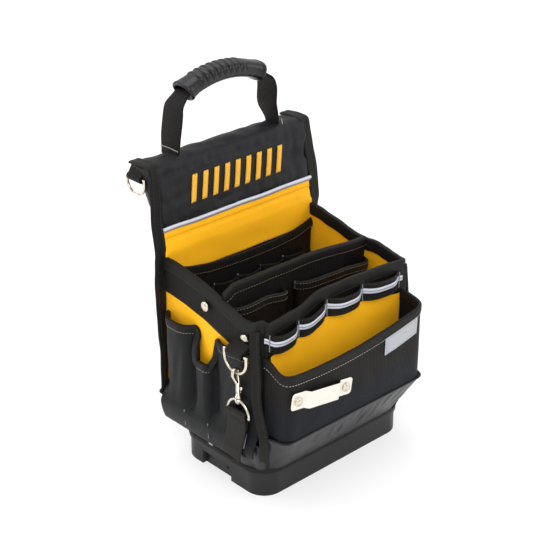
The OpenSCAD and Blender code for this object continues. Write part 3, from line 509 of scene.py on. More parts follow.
def bar_tack(surface: Surface, start: Array, stop: Array, normal: Array, width: float = 1.8) -> Surface:
    """Adds a bar tack: a dense ladder of thread across a line from start to stop.

    Args:
        surface: The surface that takes it.
        start: One end.
        stop: Other end.
        normal: Direction off the cloth.
        width: Width of the tack.

    Returns:
        The surface.
    """
    start, stop = np.asarray(start, float), np.asarray(stop, float)
    along = unit(stop - start)
    up = unit(np.asarray(normal, float) - np.dot(normal, along) * along)
    count = max(4, int(np.linalg.norm(stop - start) / 0.75))
    at = start + np.linspace(0.0, 1.0, count)[:, None] * (stop - start)
    side = np.cross(up, along)
    places = np.stack([at, *(np.broadcast_to(v, at.shape) for v in (side, -along, up))], axis=1)
    points, quads = stitch_shape(width, 0.45)
    return surface.copies(points, quads, places)


# ---------------------------------------------------------------- finishes


def linear(colour: str) -> tuple[float, float, float, float]:
    """A screen colour such as #ffaa00 as linear light, with full alpha."""
    parts = np.array([int(colour[i : i + 2], 16) for i in (1, 3, 5)]) / 255.0
    light = np.where(parts <= 0.04045, parts / 12.92, ((parts + 0.055) / 1.055) ** 2.4)
    return (*light.tolist(), 1.0)


def scaled(colour: str, factor: float) -> tuple[float, float, float, float]:
    """A screen colour as linear light, made brighter or darker by a factor."""
    red, green, blue, alpha = linear(colour)
    return (red * factor, green * factor, blue * factor, alpha)


class Graph:
    """The nodes of one material."""

    def __init__(self, name: str) -> None:
        """Starts a material with its one shader."""
        self.material = bpy.data.materials.new(name)
        self.material.use_nodes = True
        self.tree = self.material.node_tree
        self.shader = self.tree.nodes["Principled BSDF"]

    def fill(self, socket: bpy.types.NodeSocket, value: object) -> None:
        """Links a socket to another node's output, or sets its value."""
        if isinstance(value, bpy.types.NodeSocket):
            self.tree.links.new(value, socket)
        else:
            socket.default_value = value

    def node(self, kind: str, inputs: dict, **settings: object) -> bpy.types.Node:
        """Adds a node.

        Args:
            kind: Its type.
            inputs: Values or outputs for its sockets, by name or number.
            settings: Its properties.

        Returns:
            The node.
        """
        made = self.tree.nodes.new(kind)
        for key, value in settings.items():
            setattr(made, key, value)
        for key, value in inputs.items():
            self.fill(made.inputs[key], value)
        return made

    def math(self, operation: str, a: object, b: object = 0.0) -> bpy.types.NodeSocket:
        """The result of a calculation on one or two values."""
        return self.node("ShaderNodeMath", {0: a, 1: b}, operation=operation).outputs[0]

    def blend(self, share: object, low: object, high: object) -> bpy.types.NodeSocket:
        """A colour between two colours."""
        return self.node("ShaderNodeMix", {0: share, 6: low, 7: high}, data_type="RGBA").outputs[2]

    def spread(self, value: object, low: float, high: float) -> bpy.types.NodeSocket:
        """A value from 0 to 1 moved to the range from low to high."""
        inputs = {"Value": value, "To Min": low, "To Max": high}
        return self.node("ShaderNodeMapRange", inputs).outputs[0]

    def noise(
        self, size: float, detail: float = 3.0, stretch: Sequence[float] = (1, 1, 1)
    ) -> bpy.types.NodeSocket:
        """Noise on the piece's own coordinates.

        Args:
            size: Size of its spots.
            detail: How many finer layers it has.
            stretch: How much longer the spots are along each axis.

        Returns:
            A value from 0 to 1.
        """
        place = self.node("ShaderNodeTexCoord", {}).outputs["Object"]
        scale = [1.0 / (size * MM * s) for s in stretch]
        placed = self.node("ShaderNodeMapping", {"Vector": place, "Scale": scale}).outputs[0]
        texture = self.node("ShaderNodeTexNoise", {"Vector": placed, "Scale": 1.0, "Detail": detail})
        return texture.outputs["Fac"]


@dataclass(frozen=True)
class Finish:
    """What a piece is made of, as one smooth material."""

    name: str
    slot: str
    colour: str
    rough: float = 0.5
    metallic: float = 0.0
    coat: float = 0.0
    sheen: float = 0.0
    specular: float = 0.5
    mottle: float = 0.12
    mottle_size: float = 35.0

    def dress(self, piece: bpy.types.Object) -> None:
        """Puts the material on a piece."""
        material = bpy.data.materials.get(f"{self.name}_look") or self._make()
        piece.data.materials.clear()
        piece.data.materials.append(material)

    def _make(self) -> bpy.types.Material:
        """Builds the material: a mottled colour and roughness over a relief."""
        graph = Graph(f"{self.name}_look")
        height = self._height(graph)
        cloud = graph.noise(self.mottle_size)
        inputs = graph.shader.inputs
        graph.fill(inputs["Base Color"], self._colour(graph, cloud))
        graph.fill(inputs["Roughness"], graph.spread(cloud, self.rough - 0.06, self.rough + 0.06))
        inputs["Metallic"].default_value = self.metallic
        inputs["Coat Weight"].default_value = self.coat
        inputs["Coat Roughness"].default_value = 0.15
        inputs["Sheen Weight"].default_value = self.sheen
        inputs["Sheen Roughness"].default_value = 0.45
        inputs["Specular IOR Level"].default_value = self.specular
        bump = {"Height": height, "Strength": 1.0, "Distance": MM}
        graph.fill(inputs["Normal"], graph.node("ShaderNodeBump", bump).outputs[0])
        return graph.material

    def _height(self, graph: Graph) -> bpy.types.NodeSocket:
        """Relief in millimetres: here a barely uneven skin."""
        return graph.spread(graph.noise(4.0), 0.0, 0.02)

    def _colour(self, graph: Graph, cloud: object) -> bpy.types.NodeSocket:
        """Base colour, a little darker and lighter in soft patches."""
        return graph.blend(cloud, scaled(self.colour, 1 - self.mottle), scaled(self.colour, 1 + self.mottle))


@dataclass(frozen=True)
class Grained(Finish):
    """A moulded or coated skin with a fine grain and, if wanted, soft creases."""

    grain: float = 0.7
    depth: float = 0.04
    crease: float = 0.0

    def _height(self, graph: Graph) -> bpy.types.NodeSocket:
        """Relief: fine noise times the depth, plus broad noise times the crease."""
        fine = graph.math("MULTIPLY", graph.noise(self.grain, 2.0), self.depth)
        broad = graph.math("MULTIPLY", graph.noise(18.0, 4.0), self.crease)
        return graph.math("ADD", fine, broad)


@dataclass(frozen=True)
class Brushed(Finish):
    """Plated or brushed metal: fine scratches along one axis."""

    along: tuple[float, float, float] = (12.0, 12.0, 1.0)
    depth: float = 0.01

    def _height(self, graph: Graph) -> bpy.types.NodeSocket:
        """Relief: stretched noise for scratches and broad noise for dents."""
        scratch = graph.math("MULTIPLY", graph.noise(0.6, 3.0, self.along), self.depth)
        dent = graph.math("MULTIPLY", graph.noise(7.0, 2.0), 4 * self.depth)
        return graph.math("ADD", scratch, dent)


@dataclass(frozen=True)
class Cloth(Finish):
    """Woven cloth or webbing whose threads follow the piece's own UVs.

    Attributes:
        rib: Pitch of the ribs along the first UV direction.
        thread: Pitch of the threads that cross them.
        relief: Height of the threads.
        crosswise: Whether the ribs follow the second UV direction instead.
        gap_shade: Brightness between threads, as a share of the thread's: painted shade in the gaps between
            threads, with the thread crowns left bright as painted highlights.
        painted_sheen_tint: Colour of the cloth's lower part, if it differs: a painted bluish sheen, standing
            for the light's reflection on the lower, upturned face.
        painted_sheen_height: Height at which that painted sheen turns into the main colour.
    """

    specular: float = 0.16
    rib: float = 1.3
    thread: float = 1.3
    relief: float = 0.22
    crosswise: bool = False
    gap_shade: float = 0.45
    painted_sheen_tint: Optional[str] = None
    painted_sheen_height: float = 130.0
    painted_sheen_fade: float = 12.0

    def _threads(self, graph: Graph) -> bpy.types.NodeSocket:
        """Threads from 0 to 1.

        The sine across a rib times the sine along it, each shifted by half a thread from rib to rib and
        drawn out by a square root, so that round bricks of thread stand in staggered rows.
        """
        uv = graph.node("ShaderNodeUVMap", {}, uv_map="cloth").outputs[0]
        parts = graph.node("ShaderNodeSeparateXYZ", {0: uv}).outputs
        first, second = (parts[1], parts[0]) if self.crosswise else (parts[0], parts[1])
        across = graph.math("DIVIDE", first, self.rib * MM)
        shift = graph.math("MULTIPLY", graph.math("FLOOR", across), 0.5)
        along = graph.math("ADD", graph.math("DIVIDE", second, self.thread * MM), shift)
        waves = [
            graph.math("ABSOLUTE", graph.math("SINE", graph.math("MULTIPLY", value, math.pi)))
            for value in (across, along)
        ]
        softened = graph.math("ADD", graph.math("MULTIPLY", waves[1], 0.45), 0.55)
        return graph.math("SQRT", graph.math("MULTIPLY", waves[0], softened))

    def _height(self, graph: Graph) -> bpy.types.NodeSocket:
        """Relief: the threads and a slight slackness between them."""
        slack = graph.math("MULTIPLY", graph.noise(9.0, 3.0), 0.25)
        return graph.math("ADD", graph.math("MULTIPLY", self._threads(graph), self.relief), slack)

    def _colour(self, graph: Graph, cloud: object) -> bpy.types.NodeSocket:
        """Base colour: mottled threads over gaps darkened as painted shade, and below a height a painted
        bluish sheen if the cloth has one.
        """
        tone = super()._colour(graph, cloud)
        # Painted sheen: below a height the colour turns bluish, standing for the light's reflection on the
        # lower face.
        if self.painted_sheen_tint:
            place = graph.node("ShaderNodeTexCoord", {}).outputs["Object"]
            upward = graph.node("ShaderNodeSeparateXYZ", {0: place}).outputs[2]
            start, end = self.painted_sheen_height - self.painted_sheen_fade, self.painted_sheen_height + self.painted_sheen_fade
            low = {"Value": upward, "From Min": start * MM, "From Max": end * MM}
            share = graph.node("ShaderNodeMapRange", low).outputs[0]
            tone = graph.blend(share, linear(self.painted_sheen_tint), tone)
        # Painted shade and highlight: the colour darkens toward the gaps between threads and stays bright on
        # their crowns, as light would fall on them.
        share = graph.spread(self._threads(graph), self.gap_shade, 1.0)
        return graph.blend(share, (0.0, 0.0, 0.0, 1.0), tone)


# The gap value of each cloth darkens it between its threads: painted shade.
BLACK_CLOTH = Cloth("black_cloth", "black_fabric", "#111113", 0.62, mottle=0.2)
PANEL_CLOTH = Cloth("panel_cloth", "black_fabric", "#121216", 0.56, mottle=0.3, specular=0.3)
# The bluish lower colour of this cloth is a painted sheen, the reflection of the light on the pockets' lower
# faces.
POCKET_CLOTH = Cloth(
    "pocket_cloth", "black_fabric", "#181614", 0.6, mottle=0.18, rib=2.4, thread=1.0, relief=0.3,
    painted_sheen_tint="#12151c",
)
SIDE_CLOTH = Cloth(
    "side_cloth", "black_fabric", "#0a0b0e", 0.5, mottle=0.25, rib=1.5, thread=1.1, specular=0.2
)
YELLOW_CLOTH = Cloth(
    "yellow_cloth", "yellow_fabric", "#ffb918", 0.6, sheen=0.02, mottle=0.05, mottle_size=60.0,
    rib=0.9, thread=0.9, relief=0.1, gap_shade=0.9,
)
WEBBING = Cloth("webbing", "webbing", "#181613", 0.6, rib=2.4, thread=0.8, relief=0.34, gap_shade=0.3)
STRAPPING = Cloth(
    "strapping", "webbing", "#211e1a", 0.58, rib=2.0, thread=1.2, relief=0.3, crosswise=True, gap_shade=0.3
)
BINDING = Cloth("binding", "webbing", "#191816", 0.56, rib=0.9, thread=0.6, relief=0.12, gap_shade=0.5)
SILVER = Finish("silver", "reflective", "#c4c6d0", 0.38, metallic=0.1, mottle=0.04)
DULL_SILVER = Finish("dull_silver", "reflective", "#7b7d88", 0.5, mottle=0.05)
LABEL = Grained("label", "label", "#a2a4a8", 0.5, mottle=0.04, grain=0.9, depth=0.05)
COATED = Grained(
    "coated", "coated_hem", "#0e0d12", 0.38, coat=0.05, specular=0.36, grain=0.5, depth=0.02, crease=0.5
)
TRAY_PLASTIC = Grained(
    "tray_plastic", "tray", "#111013", 0.42, specular=0.36, grain=0.8, depth=0.03, mottle=0.06
)
RUBBER = Grained("rubber", "grip", "#09080c", 0.34, grain=0.6, depth=0.03, specular=0.36)
BOARD = Grained("board", "board", "#161616", 0.8)
NICKEL = Brushed("nickel", "nickel", "#cfc6b6", 0.2, metallic=1.0, mottle=0.05)
STRIP_STEEL = Brushed("strip_steel", "nickel", "#dfdad0", 0.4, metallic=0.5, mottle=0.04)
SPRING_STEEL = Brushed("spring_steel", "spring_steel", "#a8a8ac", 0.3, metallic=1.0)
THREAD_LIGHT = Finish("thread_light", "webbing", "#a59f92", 0.7)
THREAD_TAN = Finish("thread_tan", "webbing", "#6f6657", 0.7)
THREAD_GREY = Finish("thread_grey", "webbing", "#85878f", 0.7)
THREAD_DARK = Finish("thread_dark", "webbing", "#2c2a28", 0.7)
THREAD_YELLOW = Finish("thread_yellow", "yellow_fabric", "#c98410", 0.7)
EMBROIDERY = Cloth(
    "embroidery", "embroidery", "#f2b324", 0.42, sheen=0.05, mottle=0.05, rib=0.8, thread=5.0, relief=0.2,
    gap_shade=0.7, specular=0.5,
)


# ---------------------------------------------------------------- the tote's main lines


@dataclass(frozen=True)
class Plan:
    """Driving sizes of the tote."""

    half_width: float = 119.6
    wall: float = 3.0
    front: float = 73.2
    back: float = 96.7
    corner: float = 15.0
    rim_low: float = 227.5
    rim_rear: float = 258.0
    rim_front: float = 237.0
    rim_crown: float = 3.0
    rim_dip: float = 9.0
    rim_low_y: float = -34.0
    rim_front_y: float = -48.0
    rim_held: float = 13.0
    front_bow: float = 8.0
    side_bow: float = 2.0
    binding: float = 15.0
    lip_width: float = 122.0
    lip_depth: float = 75.5
    tray_height: float = 34.0
    side_seam: float = 78.0
    front_seam: float = 93.0
    pocket_face: float = 110.0
    pocket_left: float = 119.0
    pocket_right: float = 112.0
    lean_start: float = 262.0
    lean: float = math.tan(math.radians(8.32))

    def rim(self, x: Array, y: Array) -> Array:
        """Height of the rim: it eases from the back down to its low place, and up to a crowned front."""
        forward = ease((self.rim_front_y - y) / (self.rim_front_y + self.front))
        rearward = 1.0 - np.clip((self.back - y) / (self.back - self.rim_low_y), 0.0, 1.0) ** 1.5
        to_front = (self.rim_front - self.rim_low) * forward
        to_rear = (self.rim_rear - self.rim_low) * rearward
        side = self.rim_low + to_front + to_rear
        front = (np.asarray(y) < self.rim_low_y - 20) * forward
        dip = self.rim_dip * ease((x + self.half_width) / 16.0) * ease((-20.0 - x) / 42.0)
        held = ease((x - 60.0) / 50.0) * np.exp(-(((y + 34.0) / 30.0) ** 2)) * ease((y + 68.0) / 16.0)
        side = side + self.rim_held * held
        return side + (self.rim_crown * hump(x / (2 * self.half_width) + 0.5) - dip) * front

    def back_y(self, z: Array) -> Array:
        """Depth of the back's inner face: upright to the start of its lean, then leaning backward."""
        return self.back + np.maximum(0.0, z - self.lean_start) * self.lean


PLAN = Plan()


@dataclass
class WallLine:
    """The body's U in plan, from the left end of the back round the front to the right end.

    Attributes:
        step: Spacing of its points.
    """

    step: float = 3.0

    def __post_init__(self) -> None:
        """Lays out the points and their outward normals."""
        w, f, b = PLAN.half_width, PLAN.front, PLAN.back
        self.points = rounded([(-w, b), (-w, -f), (w, -f), (w, b)], PLAN.corner, self.step)
        along = tangents(self.points)
        self.normals = np.stack([along[:, 1], -along[:, 0]], axis=1)
        self.front_share = np.clip(-self.normals[:, 1], 0, 1) ** 2

    def at(self, z: Array, out: float = 0.0) -> Array:
        """The wall's outer face at given heights.

        The front bows inward by a hump across its width that grows with height, the sides by a small hump
        along their depth; a ripple of under a millimetre lies over both.

        Args:
            z: Heights, one for each point of the line.
            out: Distance off the face.

        Returns:
            The points, x, y and z.
        """
        x, y = self.points.T
        lift = ease((z - PLAN.side_seam) / (PLAN.rim_front - PLAN.side_seam))
        front = PLAN.front_bow * hump(x / (2 * PLAN.half_width) + 0.5) * self.front_share
        side = PLAN.side_bow * hump((y + PLAN.front) / (PLAN.front + PLAN.back)) * (1 - self.front_share)
        uneven = 0.6 * ripple((x + y) / 45.0, z / 60.0, 3) * hump((y - PLAN.back) / 400.0 + 0.5, 40.0)
        shift = out - (front + side) * lift + uneven
        flat = self.points + self.normals * shift[:, None]
        return np.column_stack([flat, z])

    def rim(self) -> Array:
        """Height of the rim at each point of the line."""
        return PLAN.rim(*self.points.T)

    def sheet(
        self, low: Array, high: Array, out: float = 0.0, rows: int = 12, keep: Optional[Array] = None
    ) -> Array:
        """A grid of the wall's face between two heights.

        Args:
            low: Lower heights.
            high: Upper heights.
            out: Distance off the face.
            rows: Number of points from low to high.
            keep: Which points of the line are used.

        Returns:
            A grid with the line along rows and height along columns.
        """
        share = np.linspace(0.0, 1.0, rows)
        grid = np.stack([self.at(low + (high - low) * t, out) for t in share], axis=1)
        return grid if keep is None else grid[keep]


def outward(grid: Array, inside: Array) -> bool:
    """Whether a grid's faces already point away from a place inside the tote."""
    middle = grid[len(grid) // 2, grid.shape[1] // 2]
    down = grid[len(grid) // 2 + 1, grid.shape[1] // 2] - middle
    across = grid[len(grid) // 2, grid.shape[1] // 2 + 1] - middle
    return float(np.dot(np.cross(down, across), middle - inside)) > 0


def skin(grid: Array, inside: Sequence[float], **settings: object) -> Surface:
    """A surface of one grid whose faces point away from a place inside it."""
    return Surface().grid(grid, flip=not outward(grid, np.asarray(inside, float)), **settings)


CENTRE = (0.0, 10.0, 150.0)
BEHIND = (0, 200, 160)


# ---------------------------------------------------------------- base


@dataclass
class BaseTray:
    """The moulded tray with its floor board."""

    edge: float = 1.6

    def build(self) -> None:
        """Dresses the tray and rounds its edges."""
        for name, finish in (("base_tray", TRAY_PLASTIC), ("floor_board", BOARD)):
            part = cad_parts[name]
            finish.dress(part)
            smooth_part(part, self.edge)


def smooth_part(part: bpy.types.Object, width: float = 0.0) -> None:
    """Shades a carried-over part smoothly and rounds its sharp edges if a width is given."""
    custom = part.data.attributes.get("custom_normal")
    if custom:
        part.data.attributes.remove(custom)
    shade_smooth(part.data)
    part.data.set_sharp_from_angle(angle=SHARP_FACE)
    weld(part)
    if width:
        soften(part, width, 3)


@dataclass
class HemSkirt:
    """The coated skirt between tray and seams, with its rolled, wavy hem."""

    count: int = 360
    rows: int = 16
    side_out: float = 128.1
    rear_out: float = 133.0
    rear: float = 102.7
    side_y: float = -70.0
    gusset_y: float = -84.0
    lip_gap: float = 0.6
    foot_corner: float = 40.0
    top_corner: float = 9.0
    swell: float = 2.2
    crease: float = 1.1
    thickness: float = 1.8
    hem_height: float = 36.2
    hem_wander: float = 1.3
    hem_size: tuple[float, float] = (3.4, 8.0)
    cord_radius: float = 1.3
    body: str = "bag"

    def __post_init__(self) -> None:
        """Lays out the directions shared by all outlines."""
        self.turn = np.linspace(-math.pi, math.pi, self.count, endpoint=False)

    def _radius(self, corners: Array, corner: float) -> Array:
        """Distances from the middle to a closed rounded outline, one for each direction."""
        middle = corners[:2].mean(0, keepdims=True)
        ring = rounded(np.concatenate([middle, corners[1:], corners[:1], middle]), corner, 1.0)
        angle = np.unwrap(np.arctan2(ring[:, 1], ring[:, 0]))
        reach = np.linalg.norm(ring, axis=1)
        order = np.argsort(angle)
        return np.interp(self.turn, angle[order], reach[order], period=math.tau)

    def _outline(self, corners: Sequence[Sequence[float]], corner: float) -> Array:
        """A closed outline in plan, at the directions shared by all outlines."""
        reach = self._radius(np.asarray(corners, float), corner)
        return np.stack([np.cos(self.turn), np.sin(self.turn)], axis=1) * reach[:, None]

    def build(self) -> None:
        """Builds the skirt, the hem with its stitches and the cord along the seam."""
        w, d = PLAN.lip_width + self.lip_gap, PLAN.lip_depth + self.lip_gap
        foot = self._outline([(-w, d), (-w, -d), (w, -d), (w, d)], self.foot_corner)
        f, r = PLAN.pocket_face, self.rear
        left, right, side = PLAN.pocket_left, PLAN.pocket_right, self.side_out
        gusset, front = self.gusset_y, self.side_y
        pocket = [(-left - 4, gusset), (-left + 3, -f), (right, -f), (right + 8, gusset)]
        corners = [(-self.rear_out, r), (-side, front), *pocket, (side, front), (self.rear_out, r)]
        top = self._outline(corners, self.top_corner)
        forward = ease((-74 - top[:, 1]) / 12.0)
        height = PLAN.side_seam + (PLAN.front_seam - PLAN.side_seam) * forward
        share = np.linspace(0.0, 1.0, self.rows)[None, :, None]
        plan = foot[:, None] * (1 - share) + top[:, None] * share
        reach = unit(plan)
        bulge = np.sin(math.pi * share)
        swell = self.swell * bulge * (1 + 0.6 * ripple(self.turn * 6.0, self.turn * 0.0, 5))[:, None, None]
        lines = ripple(self.turn[:, None] * 9.0, share[0, :, 0][None] * 1.6, 8)[..., None]
        crease = self.crease * lines * bulge
        plan = plan + reach * (swell + crease)
        z = PLAN.tray_height + (height[:, None] - PLAN.tray_height) * share[..., 0]
        grid = np.concatenate([plan, z[..., None]], axis=-1)
        skirt = skin(grid, CENTRE, wrap_rows=True).build("hem_skirt_cloth", self.body, COATED)
        thicken(skirt, self.thickness, even=False)
        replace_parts(skirt, "hem_skirt")
        self._hem(foot)
        self._seam(np.column_stack([top, height]))

    def _hem(self, foot: Array) -> None:
        """The rolled hem: a flattened roll that wanders up and down the tray's lip."""
        wander = ripple(self.turn * 3.0, self.turn * 0.0, 12)
        height = self.hem_height + self.hem_wander * wander
        path = np.column_stack([foot + unit(foot) * (0.9 + 0.5 * wander[:, None]), height])
        profile = stadium(*self.hem_size, 14, 2.6)
        off = unit(np.column_stack([foot, 0 * wander]))
        grid = sweep(path, profile, off, closed=True)
        skin(grid, CENTRE, wrap_rows=True, wrap_columns=True).build("hem_roll", self.body, BINDING)
        line = Surface()
        stitches(line, path + off * 1.9 + [0, 0, 2.0], unit(path * [1, 1, 0]), 3.6)
        line.build("hem_stitches", self.body, THREAD_DARK)

    def _seam(self, top: Array) -> None:
        """A thin black cord where the skirt meets the cloth above."""
        grid = sweep(top + [0, 0, 0.4], circle(self.cord_radius, 8), unit(top * [1, 1, 0]), closed=True)
        skin(grid, CENTRE, wrap_rows=True, wrap_columns=True).build("hem_seam", self.body, BINDING)


# ---------------------------------------------------------------- walls and rim


@dataclass
class BodyShell:
    """The yellow walls as one shell round front and sides."""

    line: WallLine
    body: str = "bag"

    def build(self) -> None:
        """Builds the shell from inside the skirt up to the rim."""
        foot = np.full(len(self.line.points), 66.0)
        grid = self.line.sheet(foot, self.line.rim() - 2.0, rows=30)
        shell = skin(grid, CENTRE).build("body_shell", self.body, YELLOW_CLOTH)
        thicken(shell, PLAN.wall)
        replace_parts(shell, "front_wall", "left_wall", "right_wall")
        corner = (self.line.points[:, 1] < -56.0) & (np.abs(self.line.points[:, 0]) > 104.0)
        for side in Side:
            keep = corner & (self.line.points[:, 0] * side.value > 0)
            grid = self.line.sheet(foot, self.line.rim() - 4.0, out=1.2, rows=24, keep=keep)
            strip_name = f"{side.name.lower()}_corner_cloth"
            thicken(skin(grid, CENTRE).build(strip_name, self.body, BLACK_CLOTH), 0.9)
        lining = self.line.sheet(foot - 26.0, foot + 2.0, out=-3.2, rows=4)
        thicken(skin(lining, CENTRE).build("shell_lining", self.body, BLACK_CLOTH), 0.8)


@dataclass
class RimBand:
    """The ribbed band below the rim on both sides and the binding folded over the whole rim."""

    line: WallLine
    side_width: float = 44.0
    front_width: float = 30.0
    corner_reach: float = -66.0
    body: str = "bag"

    def build(self) -> None:
        """Builds band, binding and stitches."""
        points, rim = self.line.points, self.line.rim()
        narrow = ease((PLAN.rim_low_y - points[:, 1]) / 34.0)
        width = self.side_width + (self.front_width - self.side_width) * narrow
        band = Surface()
        inner = Surface()
        for side in Side:
            keep = (points[:, 1] > self.corner_reach) & (points[:, 0] * side.value > 0)
            grid = self.line.sheet(rim - width, rim - 5.0, out=1.3, rows=12, keep=keep)
            band.grid(grid, flip=not outward(grid, np.array(CENTRE)))
            grid = self.line.sheet(rim - 14.0, rim - 5.0, out=-PLAN.wall - 0.4, rows=5, keep=keep)
            inner.grid(grid, flip=outward(grid, np.array(CENTRE)))
        piece = thicken(band.build("rim_band_web", self.body, WEBBING), 1.3)
        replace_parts(piece, "rim_band")
        thicken(inner.build("rim_band_inner", self.body, WEBBING), 0.6)
        self._binding(rim)
        self._stitches(rim, width)

    def _binding(self, rim: Array) -> None:
        """The folded binding: an upside-down U drawn along the rim, slightly crowned and uneven."""
        x, y = self.line.points.T
        wave = 0.5 * ripple((x + y) / 38.0, 0 * x, 21)
        path = self.line.at(rim - PLAN.binding / 2 + wave, out=-PLAN.wall / 2)
        normal = np.column_stack([self.line.normals, 0 * x])
        profile = stadium(6.6, PLAN.binding + 1.0, 28, 5.0)
        folded(path, normal, profile).build("rim_binding", self.body, BINDING)

    def _stitches(self, rim: Array, width: Array) -> None:
        """A row of dark stitches along the binding's lower edge and one along the band's."""
        normal = np.column_stack([self.line.normals, 0 * rim])
        rows = Surface()
        stitches(rows, self.line.at(rim - PLAN.binding + 2.6, out=1.6), normal, 3.6, 2.6, 0.35)
        for side in Side:
            keep = (self.line.points[:, 1] > self.corner_reach) & (self.line.points[:, 0] * side.value > 0)
            stitches(rows, self.line.at(rim - width + 2.5, out=1.2)[keep], normal[keep], 3.6, 2.6, 0.35)
        rows.build("rim_stitches", self.body, THREAD_DARK)


def tube_outward(grid: Array) -> bool:
    """Whether the faces of a tube-like grid point away from its axis."""
    ring, after = grid[len(grid) // 2], grid[len(grid) // 2 + 1]
    across = ring[1] - ring[0]
    return float(np.dot(np.cross(after[0] - ring[0], across), ring[0] - ring.mean(0))) > 0


def tube_skin(grid: Array, closed: bool = False) -> Surface:
    """A surface of one tube-like grid, faces outward, its ends capped unless it closes on itself."""
    flip = not tube_outward(grid)
    return Surface().grid(grid, wrap_rows=closed, wrap_columns=True, caps=not closed, flip=flip)


def folded(path: Array, normal: Array, profile: Array) -> Surface:
    """A binding folded over an edge: an upright profile carried along a path whose normals are level."""
    grid = path[:, None] + profile[:, :1] * normal[:, None] + profile[:, 1:] * UPWARD
    return tube_skin(grid)


def at_depth(flat: Array, depth: float) -> Array:
    """Points from pairs of x and z, all at one depth."""
    return np.column_stack([flat[:, 0], np.full(len(flat), depth), flat[:, 1]])


def tube(
    path: Array, profile: Array, out: Array, closed: bool = False, up: Optional[Array] = None
) -> Surface:
    """A closed profile carried along a path, with ends capped and faces outward."""
    return tube_skin(sweep(path, profile, out, closed, up), closed)


@dataclass
class CornerBindings:
    """Upright bound flanges at the two front corners."""

    width: float = 12.0
    thickness: float = 3.6
    lean: tuple[float, float] = (0.73, 0.68)
    body: str = "bag"

    def build(self) -> None:
        """Builds the flanges, which point forward, and a row of stitches on each of their faces."""
        made = Surface()
        lines = Surface()
        for side in Side:
            path, out = self._front(side)
            across = np.cross(tangents(path), out)
            made.join(tube(path, strip(self.width, self.thickness), across, up=out))
            for face in (1, -1):
                edge = path + out * (self.width * 0.18) + across * face * (self.thickness / 2 - 0.1)
                stitches(lines, edge, across * face, 3.8, 2.8, 0.34)
        piece = made.build("corner_flanges", self.body, BINDING)
        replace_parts(piece, "corner_bindings")
        lines.build("corner_stitches", self.body, THREAD_DARK)

    def _front(self, side: Side) -> tuple[Array, Array]:
        """Path and outward direction of a front flange: it waves and lies over toward the front's middle."""
        knots = np.array(
            [
                [105.0, -73.5, 38.0, 9.0],
                [116.0, -81.5, 66.0, 7.0],
                [121.5, -84.0, 92.0, 4.5],
                [122.0, -75.0, 135.0, 6.0],
                [122.0, -73.0, 168.0, 5.0],
                [124.0, -67.0, 205.0, 1.5],
                [123.0, -65.5, 224.0, 0.0],
            ]
        )
        knots, drift = knots[:, :3], knots[:, 3] * (side is Side.LEFT)
        knots[:, :2] += drift[:, None] * self.lean
        knots[:, 0] -= max(side.value, 0) * 5.0 * ease((110.0 - knots[:, 2]) / 60.0)
        path = spline(knots * [side.value, 1.0, 1.0], 3.0)
        across, forward = self.lean
        out = unit(np.array([-across * side.value, -forward, 0.0]))
        return path, np.broadcast_to(out, path.shape)


# ---------------------------------------------------------------- front


def front_wall_y(x: Array, z: Array) -> Array:
    """Depth of the front wall's outer face: its bow at a height, as in the wall line."""
    lift = ease((np.asarray(z, float) - PLAN.side_seam) / (PLAN.rim_front - PLAN.side_seam))
    return -PLAN.front + PLAN.front_bow * hump(x / (2 * PLAN.half_width) + 0.5) * lift


def front_rim(x: Array) -> Array:
    """Height of the rim along the front."""
    return PLAN.rim(x, np.full_like(np.asarray(x, float), -PLAN.front))


